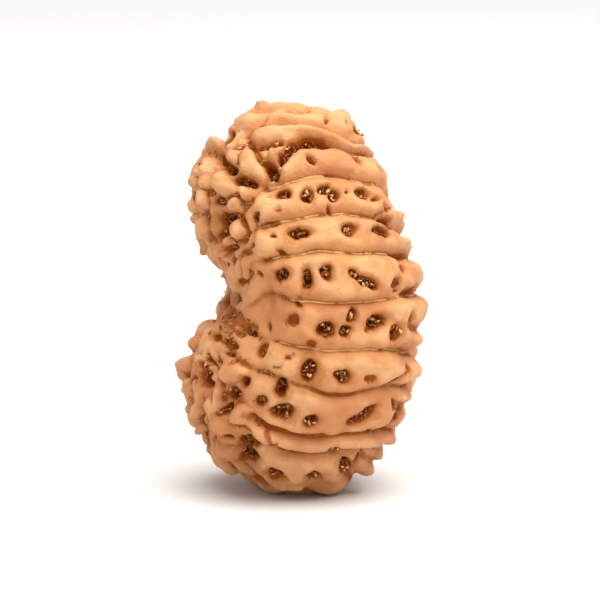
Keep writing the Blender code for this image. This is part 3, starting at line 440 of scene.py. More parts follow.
def direction_of(place):
    """The direction whose envelope point lies at a place in the front view."""
    return SEEN[np.argmin(((SEEN_AT - place) ** 2).sum(axis=1))]


def facing_poles(s):
    """Directions squeezed about the upright until the two poles face each other."""
    past = np.mod(np.arctan2(s[:, 1], s[:, 0]) - NOTCH_POLE, 2.0 * math.pi)
    span = FAR_POLE - NOTCH_POLE
    in_front = past * math.pi / span
    behind = math.pi + (past - span) * math.pi / (2.0 * math.pi - span)
    turned = NOTCH_POLE + np.where(past < span, in_front, behind)
    ring = np.hypot(s[:, 0], s[:, 1])
    return np.stack((ring * np.cos(turned), ring * np.sin(turned), s[:, 2]), axis=1)


def rib_angles(s):
    """Turn about the pole axis, 0 in front and upwards from there, and angle from the pole."""
    s = facing_poles(s)
    turn = np.arctan2(s @ RIB_UP, s @ RIB_FRONT)
    return turn, np.arccos(np.clip(s @ POLE_AXIS, -1.0, 1.0))


STEPS = np.linspace(0.0, math.pi, 181)


def smoothed(values, spread):
    """Values along STEPS, averaged over a spread given in steps."""
    reach = np.arange(-3 * spread, 3 * spread + 1)
    weight = np.exp(-0.5 * (reach / spread) ** 2)
    padded = np.pad(values, 3 * spread, mode="edge")
    return np.convolve(padded, weight / weight.sum(), mode="valid")


def front_seam(places):
    """A seam's turn about the pole axis, at each of STEPS."""
    s = np.array([direction_of(place) for place in places])
    turn, away = rib_angles(s)
    turn = np.unwrap(turn)
    order = np.argsort(away)
    return smoothed(np.interp(STEPS, away[order], turn[order]), 4)


def all_seams():
    """Each seam's turn below the top one, at each of STEPS, down the front and up the back."""
    rng = np.random.default_rng(SEED)
    front = [front_seam(points) for points in SEAMS]
    top = front[0]
    below = [top - seam for seam in front]
    last = front[-1] - FOOT_RIB
    top_end = 2.0 * math.pi - TOP_RIB
    middle = len(STEPS) // 2
    for rib in range(BACK_RIBS + 1):
        share = (rib + rng.uniform(-0.14, 0.14)) / BACK_RIBS
        even = (1.0 - share) * last[middle] + share * (top[middle] - top_end)
        bend = (1.0 - share) ** 2 * (last - last[middle]) + share**2 * (top - top[middle])
        wobble = smoothed(rng.normal(0.0, 0.25, len(STEPS)), 14)
        below.append(top - even - bend + wobble)
    below.append(np.full(len(STEPS), 2.0 * math.pi))
    return top, np.maximum.accumulate(np.array(below), axis=0)


TOP_SEAM, SEAMS_BELOW = all_seams()


def past_seams(s):
    """How far the turn at each direction has passed each seam, from the top one down."""
    turn, away = rib_angles(s)
    below = np.mod(np.interp(away, STEPS, TOP_SEAM) - turn, 2.0 * math.pi)
    return below - np.array([np.interp(away, STEPS, row) for row in SEAMS_BELOW])


def rib_place(s):
    """Millimetres from the seam above, and from the seam below."""
    past = past_seams(s)
    rib = np.clip((past >= 0.0).sum(axis=0) - 1, 0, len(past) - 2)
    column = np.arange(len(s))
    here = envelope(s)
    step = 0.004
    side = unit(np.cross(s, POLE_AXIS + 0.001 * RIB_UP))
    slopes = []
    for way in (side, np.cross(s, side)):
        beside = unit(s + step * way)
        change = past_seams(beside) - past
        change = (change + math.pi) % (2.0 * math.pi) - math.pi
        slopes.append(change / np.linalg.norm(envelope(beside) - here, axis=1))
    per_mm = np.hypot(*slopes) + 1e-6
    wave = SEAM_WAVE * noise(here, 1.6, 15)
    before = past[rib, column] / per_mm[rib, column] + wave
    after = -past[rib + 1, column] / per_mm[rib + 1, column] - wave
    return np.maximum(before, 0.0), np.maximum(after, 0.0)


def scar(s):
    """1 in the smooth scar at each pole, where the seams run out, 0 outside it."""
    _, away = rib_angles(s)
    return 1.0 - ease(0.2, 0.5, np.minimum(away, math.pi - away))


def knobby(s):
    """1 in the lumpy ground round the scars, 0 in them and where the ribs run clear."""
    turn, away = rib_angles(s)
    edge = np.radians(36.0 + 20.0 * np.sin(turn) ** 2)
    near = 1.0 - ease(edge - 0.2, edge + 0.2, away)
    far = ease(math.pi - 0.65, math.pi - 0.35, away)
    return np.maximum(near, far) * (1.0 - scar(s))


def on_rib(s):
    """True away from the seams, the scars and the flat spot, where a pit can lie."""
    clear = (scar(s) < 0.1) & (on_foot(envelope(s), 1.2) < 0.1)
    return (np.minimum(*rib_place(s)) > 0.8) & clear


def hidden(s):
    """True where the front view doesn't reach, or sees only edge on."""
    return outward(s) @ VIEW_AWAY > -0.05


def footprint(s, half_length, half_width, tilt):
    """Two vectors in the surface that cover an ellipse as the view sees it."""
    normal = outward(s[None])[0]
    facing = min(normal @ VIEW_AWAY, -0.45)
    sides = []
    for reach, angle in ((half_length, tilt), (half_width, tilt + 90.0)):
        a = math.radians(angle)
        across = math.cos(a) * VIEW_RIGHT + math.sin(a) * VIEW_UP
        flat = across - (across @ normal) / facing * VIEW_AWAY
        sides.append(reach * (flat - (flat @ normal) * normal))
    return envelope(s[None])[0], sides[0], sides[1], normal


def front_pits():
    """Each pit that the view shows: its middle, two half axes, normal and depth."""
    pits = []
    for x, z, half_length, half_width, tilt, depth in PITS:
        pits.append((*footprint(direction_of((x, z)), half_length, half_width, tilt), depth))
    return pits


def surface_pit(s, half_length, half_width, angle, depth):
    """A pit given by its direction, for the sides that the view doesn't show."""
    normal = outward(s[None])[0]
    along = unit(np.cross(normal, POLE_AXIS + 0.01 * RIB_UP))
    across = np.cross(normal, along)
    first = math.cos(angle) * along + math.sin(angle) * across
    second = np.cross(normal, first)
    return envelope(s[None])[0], half_length * first, half_width * second, normal, depth


def hidden_places(seed, spacing, fits):
    """Directions that the view doesn't show, a seeded draw at an even spacing."""
    rng = np.random.default_rng(seed)
    candidates = rng.permutation(even_directions(5000))
    taken = np.empty((0, 3))
    for s in candidates[hidden(candidates) & fits(candidates)]:
        middle = envelope(s[None])
        if len(taken) == 0 or np.linalg.norm(taken - middle, axis=1).min() > spacing:
            taken = np.concatenate((taken, middle))
            yield s, rng


def hidden_pits():
    """The same for the pits that the view doesn't show."""
    pits = []
    for s, rng in hidden_places(SEED + 1, HIDDEN_PIT_SPACING, on_rib):
        long, wide = rng.uniform(0.4, 1.0), rng.uniform(0.35, 0.6)
        angle, depth = rng.uniform(0.0, math.pi), rng.uniform(0.6, 1.3)
        pits.append(surface_pit(s, max(long, wide), wide, angle, depth))
    return pits


def front_lines(table):
    """Straight stretches of creases or ridges on the envelope, each with its two sizes."""
    stretches = []
    for places, radius, height in table:
        line = envelope(np.array([direction_of(place) for place in places]))
        stretches += [(start, end, radius, height) for start, end in zip(line[:-1], line[1:])]
    return stretches


def outline_creases():
    """Creases that run along the view, so that they nick the outline."""
    run = OUTLINE_RUN * VIEW_AWAY
    creases = []
    for x, z, half_width, deep in OUTLINE_CREASES:
        middle = envelope(direction_of((x, z))[None])[0]
        creases.append((middle - run, middle + run, half_width, deep))
    return creases


def hidden_knobs():
    """Knobs in the lumpy ground that the view doesn't show, pointing at their pole."""
    knobs = []
    for s, rng in hidden_places(SEED + 2, HIDDEN_KNOB_SPACING, lambda some: knobby(some) > 0.5):
        middle, normal = envelope(s[None])[0], outward(s[None])[0]
        along = unit(np.cross(np.cross(normal, POLE_AXIS + 0.01 * RIB_UP), normal))
        half = rng.uniform(0.1, 0.6) * along
        radius, high = rng.uniform(0.7, 1.0), rng.uniform(0.1, 0.4)
        knobs.append((middle - half, middle + half, radius, high))
    return knobs


def pit_depths(points, pits):
    """How deep the pits cut, and how deep the skin dips round them."""
    waves = [noise(points, 0.9, seed) + 0.5 * noise(points, 0.35, seed) for seed in (51, 52, 53)]
    moved = points + PIT_EDGE * np.stack(waves, axis=1)
    depth = np.zeros(len(points))
    dimple = np.zeros(len(points))
    for middle, first, second, normal, deep in pits:
        offset = moved - middle
        close = np.flatnonzero((offset**2).sum(axis=1) < (3.0 * np.linalg.norm(first) + 1.0) ** 2)
        offset = offset[close]
        inverse = np.linalg.inv(np.stack((first, second, normal), axis=1))
        a, b, rise = (offset @ inverse.T).T
        q = np.sqrt(a * a + b * b)
        same_side = ease(3.0, 1.5, np.abs(rise))
        depth[close] = np.maximum(depth[close], deep / (1.0 + (q / 0.92) ** 7) * same_side)
        dip = DIMPLE_DEPTH * deep * np.exp(-((q / DIMPLE_REACH) ** 2)) * same_side
        dimple[close] = np.maximum(dimple[close], dip)
    return np.stack((depth, dimple))


def distance_to(points, start, end):
    """How far points lie from a straight stretch."""
    run = end - start
    offset = points - start
    share = np.clip(offset @ run / max(run @ run, 1e-9), 0.0, 1.0)
    return np.linalg.norm(offset - share[:, None] * run, axis=1)


def knob_heights(points, floor, knobs):
    """Heights of the knobs above the floor, running into each other where they meet."""
    height = np.zeros(len(points))
    waves = [noise(points, 1.2, seed) + 0.35 * noise(points, 0.6, seed) for seed in (61, 62, 63)]
    moved = points + KNOB_WANDER * np.stack(waves, axis=1)
    for start, end, radius, high in knobs:
        q = distance_to(moved, start, end) / radius
        height += ((high + floor) * ease(KNOB_SKIRT, KNOB_TOP, q)) ** 3
    return np.cbrt(height)


def crease_depths(points, creases):
    """How deep the creases cut."""
    depth = np.zeros(len(points))
    for start, end, half_width, deep in creases:
        q = distance_to(points, start, end) / half_width
        depth = np.maximum(depth, deep * np.exp(-0.7 * q * q))
    return depth


def on_foot(points, fringe):
    """1 over the flat spot underneath, and 0 outside a fringe round it."""
    away = np.hypot(points[:, 0] - FOOT_MIDDLE[0], points[:, 1] - FOOT_MIDDLE[1])
    return (1.0 - ease(FOOT_RADIUS - 0.3, FOOT_RADIUS + fringe, away)) * (points[:, 2] < 0.0)


def surface(s):
    """The finished surface for unit vectors from the middle, cut flat at the foot."""
    points = envelope(s)
    normal = outward(s)
    wild = knobby(s)
    before, after = rib_place(s)
    shoulder = SHOULDER * (1.0 + 0.3 * noise(points, 2.2, 11) + 0.15 * noise(points, 0.9, 17))
    shoulder = np.minimum(shoulder, 0.5 * (before + after) + 0.05)
    rise = np.clip(np.minimum(before, after) / shoulder, 0.0, 1.0)
    edge_on = ease(-0.75, -0.2, normal @ VIEW_AWAY)
    groove = GROOVE_DEPTH * (1.0 + EDGE_ON_GROOVE * edge_on) * (1.0 - rise) ** 2.0
    relief = -groove * (1.0 - 0.85 * wild) * (1.0 - scar(s)) - KNOB_FLOOR * wild
    relief = relief + SWELL_HEIGHT * noise(points, SWELL_SIZE, 12)
    relief = relief + RIPPLE_HEIGHT * noise(points, RIPPLE_SIZE, 13)
    relief = relief + CRUMPLE_HEIGHT * wild * noise(points, CRUMPLE_SIZE, 16)
    relief = relief + LUMP_HEIGHT * (edge_on + 0.35) * noise(points, LUMP_SIZE, 14)
    relief = relief + knob_heights(points, KNOB_FLOOR * wild, front_lines(KNOBS) + hidden_knobs())
    clear = 1.0 - on_foot(points, 1.2)
    depth, dimple = clear * pit_depths(points, front_pits() + hidden_pits())
    cut_in = np.maximum(depth, crease_depths(points, front_lines(CREASES) + outline_creases()))
    relief = (relief - cut_in - dimple) * clear
    points = points + relief[:, None] * normal
    cut = FOOT_CUT - HALF_HEIGHT
    points[:, 2] = np.maximum(points[:, 2], cut)
    return points, depth, dimple, before, after


def cube_sphere(cells):
    """Unit vectors and square faces of a cube's grid pushed out to a sphere."""
    edge = np.tan(np.linspace(-1.0, 1.0, cells + 1) * math.pi / 4.0)
    index = {}
    directions = []
    faces = []

    def vertex(grid_point):
        if grid_point not in index:
            index[grid_point] = len(directions)
            directions.append([edge[i] for i in grid_point])
        return index[grid_point]

    for axis in range(3):
        for end in (0, cells):
            for i in range(cells):
                for j in range(cells):
                    corners = []
                    for a, b in ((i, j), (i + 1, j), (i + 1, j + 1), (i, j + 1)):
                        place = [0, 0, 0]
                        place[axis] = end
                        place[(axis + 1) % 3] = a
                        place[(axis + 2) % 3] = b
                        corners.append(vertex(tuple(place)))
                    faces.append(corners if end else corners[::-1])
    return unit(np.array(directions)), faces


# The scored part of the scar in the notch: the points along each score, its half width and
# its strength
HATCH = (
    (((-6.2, -0.6), (-5.2, -1.2), (-3.9, -2.3)), 0.2, 1.0),
    (((-6.4, -1.1), (-5.4, -1.8), (-4.3, -2.8)), 0.2, 1.0),
    (((-6.5, -1.8), (-5.7, -2.4), (-4.9, -3.1)), 0.2, 1.0),
    (((-7.1, -3.0), (-6.3, -3.5), (-5.6, -4.5)), 0.25, 1.0),
)
CELLS = 128  # fine enough to show the edges of the pits
SURFACE_STEP = 0.156  # mean distance between its vertices, in millimetres
CLEARANCE = 0.00002  # left between this mesh and the sides of the CAD box, in metres
NEAR_BLUR = 0.35  # a hollow is what lies below the surface blurred over this, in millimetres
FAR_BLUR = 1.1  # and a valley below this


def smoothing(points, faces, steps):
    """The surface averaged over its neighbours, as often as asked."""
    corners = np.array(faces)
    start = corners.ravel()
    end = np.roll(corners, -1, axis=1).ravel()
    count = np.bincount(start, minlength=len(points)) + np.bincount(end, minlength=len(points))
    level = points
    for _ in range(steps):
        moved = np.empty_like(level)
        for axis in range(3):
            total = np.bincount(start, level[end, axis], len(points))
            total += np.bincount(end, level[start, axis], len(points))
            moved[:, axis] = total / count
        level = 0.5 * (level + moved)
    return level


def steps_for(size):
    """How many averaging steps blur over a size in millimetres."""
    return int(round(4.0 * (size / SURFACE_STEP) ** 2))


directions, faces = cube_sphere(CELLS)
bead_points, pit_depth, dimple, before, after = surface(directions)
bead_low, bead_high = bead_points.min(axis=0), bead_points.max(axis=0)
cad_low, cad_high = (np.array(corner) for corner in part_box("bead"))
cad_size = cad_high - cad_low - 2.0 * CLEARANCE
TO_METRES = min(MM, (cad_size / (bead_high - bead_low)).min())


def foot(low, high):
    """The middle of a box's underside."""
    return np.array((0.5 * (low[0] + high[0]), 0.5 * (low[1] + high[1]), low[2]))


def placed(points):
    """From the bead's own millimetres to metres in the frame, standing on its foot."""
    return foot(cad_low, cad_high) + (points - foot(bead_low, bead_high)) * TO_METRES


def smooth_mesh(name, points, faces, layers):
    """A smooth mesh in the frame, with each layer's values on its points."""
    mesh = bpy.data.meshes.new(name)
    mesh.from_pydata(placed(points).tolist(), [], faces)
    mesh.shade_smooth()
    for layer_name, values in layers.items():
        layer = mesh.attributes.new(layer_name, "FLOAT", "POINT")
        layer.data.foreach_set("value", np.array(values, dtype=np.float32))
    return mesh


def linked(name, data):
    """An object with that data, in the scene."""
    made = bpy.data.objects.new(name, data)
    bpy.context.scene.collection.objects.link(made)
    return made


# Ribs swing alternately above and below zero, so that a seam is where the value crosses it
rib_width = before + after + 0.001
odd_rib = (past_seams(directions) >= 0.0).sum(axis=0) % 2
seam_swing = (1.0 - 2.0 * odd_rib) * rib_width / math.pi * np.sin(math.pi * before / rib_width)
bead_normals = outward(directions)
near_level = smoothing(bead_points, faces, steps_for(NEAR_BLUR))
far_level = smoothing(near_level, faces, steps_for(FAR_BLUR))
hollow = ((near_level - bead_points) * bead_normals).sum(axis=1)
valley = ((far_level - bead_points) * bead_normals).sum(axis=1)
crease_depth = crease_depths(envelope(directions), front_lines(CREASES))
lumpy = np.maximum(knobby(directions), scar(directions))

bead_layers = {
    "pit_depth": pit_depth,
    "crease_depth": crease_depth,
    "hatched": crease_depths(envelope(directions), front_lines(HATCH)),
    "dimple": dimple / DIMPLE_DEPTH,
    "seam_swing": seam_swing,
    "hollow": hollow,
    "valley": valley,
    "lumpy": lumpy,
}
bead_mesh = smooth_mesh("bead_stone", bead_points, faces, bead_layers)
bead = linked("bead_stone", bead_mesh)


def linear(colour):
    """An sRGB hex colour as linear red, green, blue and alpha."""
    parts = (int(colour[i : i + 2], 16) / 255.0 for i in (1, 3, 5))
    return (*(c / 12.92 if c <= 0.04045 else ((c + 0.055) / 1.055) ** 2.4 for c in parts), 1.0)


def add(tree, kind, links=(), **settings):
    """Adds a node. links maps its inputs to values, to hex colours or to other outputs."""
    made = tree.nodes.new(kind)
    for name, value in settings.items():
        setattr(made, name, value)
    for socket, value in dict(links).items():
        if isinstance(value, bpy.types.NodeSocket):
            tree.links.new(value, made.inputs[socket])
        else:
            made.inputs[socket].default_value = linear(value) if isinstance(value, str) else value
    return made


# Endocarp wood, brushed clean and wiped with oil: a dense fine-grained tan stone with a dull
# waxy sheen on its ridges. Its colour holds painted light on the crests and painted shade in
# the valleys, hollows and creases; its pits are darker still, partly brown dirt, partly painted shade.
FLANK = "#b27640"
RIDGE = "#c68957"
RIDGE_PALE = "#cf9a6b"
RUDDY = "#b67045"
HALO = "#a5652b"
HOLLOW = "#8f4a0c"
PIT_WALL = "#964c12"
PIT_FLOOR = "#78330a"
HAIRLINE = "#eec084"
SEAM_DARKENING = "#8a4c1a"
FLECK = "#e3af80"
SHEEN = 0.12  # less than a polished seed's
SMOOTHEST = 0.44
ROUGHEST = 0.66
THREAD_LOW = 9.0  # the pale threads fade out between these heights, in millimetres
THREAD_HIGH = 17.0
WAVE_HEIGHT = 0.6  # in millimetres
GRAIN_HEIGHT = 0.18

stone = bpy.data.materials.new("endocarp_wood_brushed_and_oiled")
stone.use_nodes = True
tree = stone.node_tree
shader = tree.nodes["Principled BSDF"]
place = add(tree, "ShaderNodeTexCoord").outputs["Object"]

# What the colours follow: the mesh's layers, noises, and sums of both
measures = {}
for name in bead_layers:
    measures[name] = add(tree, "ShaderNodeAttribute", attribute_name=name).outputs["Fac"]

# Noises from 0 to 1, by the size of their lumps in millimetres
for name, size, detail, rough in (
    ("broad", 4.5, 2.0, 0.5),
    ("patchy", 1.4, 3.0, 0.55),
    ("grainy", 0.4, 4.0, 0.65),
    ("dotty", 0.17, 2.0, 0.5),
):
    links = {"Vector": place, "Scale": 1.0 / (size * MM), "Detail": detail, "Roughness": rough}
    measures[name] = add(tree, "ShaderNodeTexNoise", links).outputs["Fac"]

# Sums of those measures: each is a first one plus a share of a second
for name, first, second, share in (
    ("height", "valley", "patchy", 0.35),
    ("ragged_hollow", "hollow", "grainy", 0.1),
    ("ragged_depth", "pit_depth", "grainy", 0.5),
    ("ragged_crease", "crease_depth", "grainy", 0.5),
    ("ragged_hatch", "hatched", "grainy", 1.6),
    ("pit_surround", "dimple", "patchy", 1.1),
    ("crevice", "ragged_hollow", "lumpy", 0.13),
    ("shine", "patchy", "hollow", 1.0),
    ("skin", "grainy", "dotty", 0.45),
):
    links = {0: measures[second], 1: share, 2: measures[first]}
    measures[name] = add(tree, "ShaderNodeMath", links, operation="MULTIPLY_ADD").outputs[0]
measures["seam"] = add(tree, "ShaderNodeMath", {0: measures["seam_swing"]}, operation="ABSOLUTE").outputs[0]

# Stains, painted light and painted shade over the ridges' colour, from the first to the last:
# what each follows, where it sets in and where it is full, its strength there, and its colour
MIX_FIRST, MIX_SECOND, MIX_RESULT = 6, 7, 2  # the colour sockets of a mix node
tone = RIDGE
for name, starts, full, strength, colour in (
    # painted light: paler on the crests, where the surface stands above its blurred level
    ("height", 0.0, -0.3, 0.8, RIDGE_PALE),
    # painted shade: darker down the sides into the valleys
    ("height", 0.3, 0.85, 0.9, FLANK),
    ("broad", 0.42, 0.66, 0.65, RUDDY),
    ("patchy", 0.52, 0.72, 0.5, FLANK),
    # darker and blotchy in the dip round each pit
    ("pit_surround", 0.85, 1.25, 0.45, HALO),
    # painted shade: darker in the hollows, and sooner in the knobby ground between the knobs
    ("crevice", 0.1, 0.36, 0.9, HOLLOW),
    ("crevice", 0.24, 0.42, 0.75, PIT_WALL),
    # painted shade: darker still at the bottom of the valleys
    ("height", 0.7, 1.5, 0.75, HOLLOW),
    ("dotty", 0.68, 0.76, 0.35, FLECK),
    # darker along the seams, at the bottom of their grooves
    ("seam", 0.24, 0.05, 0.15, SEAM_DARKENING),
    # painted shade: darker along the scores in the notch's scar and in the creases, by their depth
    ("ragged_hatch", 1.15, 1.6, 0.9, PIT_WALL),
    ("ragged_crease", 0.42, 0.75, 0.85, PIT_WALL),
    ("ragged_crease", 0.8, 1.2, 0.9, PIT_FLOOR),
    # the pits darker by their depth: partly brown dirt, partly painted shade
    ("ragged_depth", 0.38, 0.7, 1.0, PIT_WALL),
    ("ragged_depth", 0.75, 1.25, 1.0, PIT_FLOOR),
):
    reach = {"Value": measures[name], "From Min": starts, "From Max": full, "To Max": strength}
    amount = add(tree, "ShaderNodeMapRange", reach, interpolation_type="SMOOTHSTEP").outputs["Result"]
    layers = {"Factor": amount, MIX_FIRST: tone, MIX_SECOND: colour}
    tone = add(tree, "ShaderNodeMix", layers, data_type="RGBA").outputs[MIX_RESULT]

# A pale thread of skin runs along the open seams of the upper ribs, broken here and there:
# what limits it, and from where to where
measures["up"] = add(tree, "ShaderNodeSeparateXYZ", {"Vector": place}).outputs["Z"]
thread = 1.0
for name, starts, full, strength in (
    ("seam", 0.11, 0.03, 0.7),
    ("patchy", 0.34, 0.52, 1.0),
    ("lumpy", 0.5, 0.1, 1.0),
    ("up", THREAD_LOW * MM, THREAD_HIGH * MM, 1.0),
):
    reach = {"Value": measures[name], "From Min": starts, "From Max": full, "To Max": strength}
    amount = add(tree, "ShaderNodeMapRange", reach, interpolation_type="SMOOTHSTEP").outputs["Result"]
    thread = add(tree, "ShaderNodeMath", {0: thread, 1: amount}, operation="MULTIPLY").outputs[0]
layers = {"Factor": thread, MIX_FIRST: tone, MIX_SECOND: HAIRLINE}
tone = add(tree, "ShaderNodeMix", layers, data_type="RGBA").outputs[MIX_RESULT]
tree.links.new(tone, shader.inputs["Base Color"])

reach = {"Value": measures["shine"], "From Min": 0.3, "From Max": 0.8}
gloss = add(tree, "ShaderNodeMapRange", {**reach, "To Min": SMOOTHEST, "To Max": ROUGHEST}).outputs["Result"]
tree.links.new(gloss, shader.inputs["Roughness"])
shader.inputs["IOR"].default_value = 1.5
shader.inputs["Metallic"].default_value = 0.0
shader.inputs["Specular IOR Level"].default_value = SHEEN

# Shallow waves over the ribs, and the grain of the wood on them
links = {"Height": measures["patchy"], "Strength": 0.3, "Distance": WAVE_HEIGHT * MM}
waves = add(tree, "ShaderNodeBump", links).outputs["Normal"]
links = {"Height": measures["skin"], "Strength": 0.55, "Distance": GRAIN_HEIGHT * MM, "Normal": waves}
grain = add(tree, "ShaderNodeBump", links).outputs["Normal"]
tree.links.new(grain, shader.inputs["Normal"])
bead_mesh.materials.append(stone)

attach(bead, "root")
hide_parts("bead")


# Pulp fibres: shreds of the fruit's dried flesh that brushing leaves stuck in the pits and
# crevices. Short curled strands lie matted on a pit's floor, soaked brown, and torn crumbs
# that have dried pale cling to the walls of some. A few hairs stand up in the notch.
STRAND_RADIUS = 0.06  # all sizes here are in millimetres
HAIR_RADIUS = 0.035
STRAND_SIDES = 5
STRANDS_TO_A_PIT = 14  # in one a millimetre deep
STRANDS_TO_A_MM = 6  # along a deep crease
STANDING_OFF = 0.48  # strands further off the stone are brushed away
LEAST_DEPTH = 0.45  # of a pit that holds strands, and of one that holds crumbs
CRUMB_DEPTH = 0.6
CRUMBS_NEAR = 0.8  # how far their place may be from the middle of a pit
CRUMBS_EACH = 4
TUFT_HAIRS = 3
SCORE_STRANDS = 5  # at each point of a score
SCORE_HEADING = (0.75, 0.0, -0.65)  # the scores run down to the right
CREVICE_HOLLOW = 0.1  # how deep a hollow between the knobs holds some
CREVICE_STRANDS = 1300
LOWEST = 0.05  # of any fibre, above the floor

# What lies in a pit: radius, shortest and longest, lowest and highest as shares of the
# pit's depth, darkest and palest shade, and how many stretches each is bent into
STRAND = (STRAND_RADIUS, (0.35, 0.9), (0.05, 0.65), (0.25, 0.82), 5)
CRUMB = (0.13, (0.25, 0.6), (0.3, 0.75), (0.75, 1.0), 3)

# Where the front view shows pale crumbs, and where hairs stand up
PALE_CRUMBS = (
    (1.2, 9.1), (2.6, 9.7), (3.6, 9.3), (6.5, 9.4), (0.2, 16.8), (1.8, 14.2), (0.6, 14.0), (-0.4, 13.6),
    (-4.4, 10.4), (-7.2, 8.8), (-6.9, 6.0), (0.5, 5.8), (4.9, 6.2), (2.9, 2.4), (5.4, 2.1), (6.9, 1.6),
    (9.6, 1.9), (2.7, -2.6), (4.5, -2.7), (5.2, -1.5), (8.0, -2.0), (9.3, -2.8), (10.4, -1.8), (1.1, -6.3),
    (4.3, -6.8), (-3.2, -9.2), (-1.1, -10.0), (1.4, -10.7), (5.9, -10.5), (-5.6, -8.8), (-6.4, -9.7),
    (-4.6, -14.8), (-1.7, -16.0), (1.6, -15.7), (4.6, -15.0), (3.6, -13.4),
)
HAIRS = ((-6.8, 2.3), (-6.45, 0.9), (-6.6, 0.1), (-7.3, -1.2), (10.7, 0.7), (-5.6, 12.2), (-1.1, 12.6))
fibre_draw = np.random.default_rng(SEED + 3)
fibre_points = []
fibre_faces = []
fibre_shades = []


def lay_strand(line, radius, shade):
    """Adds a tapered strand along a line of points, in the bead's own millimetres."""
    along = np.gradient(line, axis=0)
    side = unit(np.cross(along, fibre_draw.normal(size=3)))
    up = unit(np.cross(along, side))
    first = sum(len(ring) for ring in fibre_points)
    turns = 2.0 * math.pi * np.arange(STRAND_SIDES) / STRAND_SIDES
    taper = 1.0 - 0.75 * np.linspace(-1.0, 1.0, len(line)) ** 2
    for middle, sideways, upwards, share in zip(line, side, up, taper):
        ring = np.cos(turns)[:, None] * sideways + np.sin(turns)[:, None] * upwards
        rough = fibre_draw.uniform(0.65, 1.3, (STRAND_SIDES, 1))
        fibre_points.append(middle + radius * share * rough * ring)
        fibre_shades.extend([shade] * STRAND_SIDES)
    for step in range(len(line) - 1):
        for corner in range(STRAND_SIDES):
            a = first + step * STRAND_SIDES + corner
            b = first + step * STRAND_SIDES + (corner + 1) % STRAND_SIDES
            fibre_faces.append((a, b, b + STRAND_SIDES, a + STRAND_SIDES))
    fibre_faces.append(tuple(range(first + STRAND_SIDES - 1, first - 1, -1)))
    last = first + (len(line) - 1) * STRAND_SIDES
    fibre_faces.append(tuple(range(last, last + STRAND_SIDES)))


def curled(start, heading, length, curl, steps):
    """Points along a strand that sets off one way and keeps changing its mind."""
    line = [start]
    for _ in range(steps):
        heading = unit(heading + fibre_draw.normal(0.0, curl, 3))
        line.append(line[-1] + heading * length / steps)
    return np.array(line)


def fill_pit(pit, strands, crumbs, cut):
    """Strands over the floor of a pit that cuts so deep, and pale crumbs above them."""
    middle, first, second, normal, deep = pit
    axes = np.stack((first, second, normal), axis=1)
    offset = bead_points - middle
    reach = 1.5 * np.linalg.norm(first) + 1.2 * deep + 0.5
    close = np.flatnonzero((offset**2).sum(axis=1) < reach**2)
    a, b, _ = (offset[close] @ np.linalg.inv(axes).T).T
    inside = close[(np.hypot(a, b) < 0.85) & (cut[close] > 0.6 * deep)]
    if len(inside) == 0:
        return
    flat = np.stack((unit(first), unit(second)))
    for number in range(strands + crumbs):
        radius, lengths, lifts, shades, stretches = STRAND if number < strands else CRUMB
        heading = fibre_draw.normal(size=2) @ flat
        length = fibre_draw.uniform(*lengths)
        lift = fibre_draw.uniform(*lifts)
        start = bead_points[fibre_draw.choice(inside)] + lift * deep * normal
        line = curled(start - 0.5 * length * unit(heading), heading, length, 0.5, stretches)
        radius = radius * fibre_draw.uniform(0.5, 1.2)
        shade = fibre_draw.uniform(*shades)
        gaps = np.linalg.norm(line[:, None] - bead_points[close], axis=2).min(axis=1)
        if gaps.max() < STANDING_OFF:
            lay_strand(line, radius, shade)


def along_surface(heading, root):
    """A heading laid flat on the stone at a vertex."""
    return heading - (heading @ bead_normals[root]) * bead_normals[root]


def front_vertex(at):
    """The vertex that the front view shows at a place, given in millimetres."""
    away = (bead_points @ VIEW_RIGHT - at[0]) ** 2 + (bead_points @ VIEW_UP - at[1]) ** 2
    turned_away = bead_normals @ VIEW_AWAY > 0.3
    return np.argmin(away + 0.0004 * (bead_points @ VIEW_AWAY + 20.0) + 9.0 * turned_away)


pale_places = envelope(np.array([direction_of(at) for at in PALE_CRUMBS]))
for pit in front_pits() + hidden_pits():
    middle, first, second, _, deep = pit
    near = (np.linalg.norm(pale_places - middle, axis=1) < CRUMBS_NEAR).sum()
    unseen = outward(unit(middle)[None])[0] @ VIEW_AWAY > -0.12
    crumbs = fibre_draw.integers(0, 6) if unseen else CRUMBS_EACH * near
    area = np.linalg.norm(first) * np.linalg.norm(second)
    matted = STRANDS_TO_A_PIT * max(0.0, deep - LEAST_DEPTH) / (1.0 - LEAST_DEPTH) * min(1.5, 2.5 * area)
    fill_pit(pit, int(round(matted)), crumbs if deep > CRUMB_DEPTH else 0, pit_depth)

for start, end, half_width, deep in front_lines(CREASES):
    normal = outward(unit(start + end)[None])[0]
    run = 0.5 * (end - start)
    across = half_width * unit(np.cross(normal, run))
    strands = int(round(STRANDS_TO_A_MM * np.linalg.norm(end - start) * ease(0.5, 0.9, deep)))
    if strands > 0 and normal @ VIEW_AWAY < -0.35:
        fill_pit((0.5 * (start + end), run, across, normal, deep), strands, strands // 5, crease_depth)

for at in HAIRS:
    root = front_vertex(at)
    for _ in range(TUFT_HAIRS):
        heading = bead_normals[root] + fibre_draw.normal(0.0, 0.5, 3)
        start = bead_points[root] + fibre_draw.normal(0.0, 0.08, 3) - 0.1 * bead_normals[root]
        line = curled(start, heading, fibre_draw.uniform(0.3, 0.55), 0.35, 4)
        lay_strand(line, HAIR_RADIUS, fibre_draw.random())

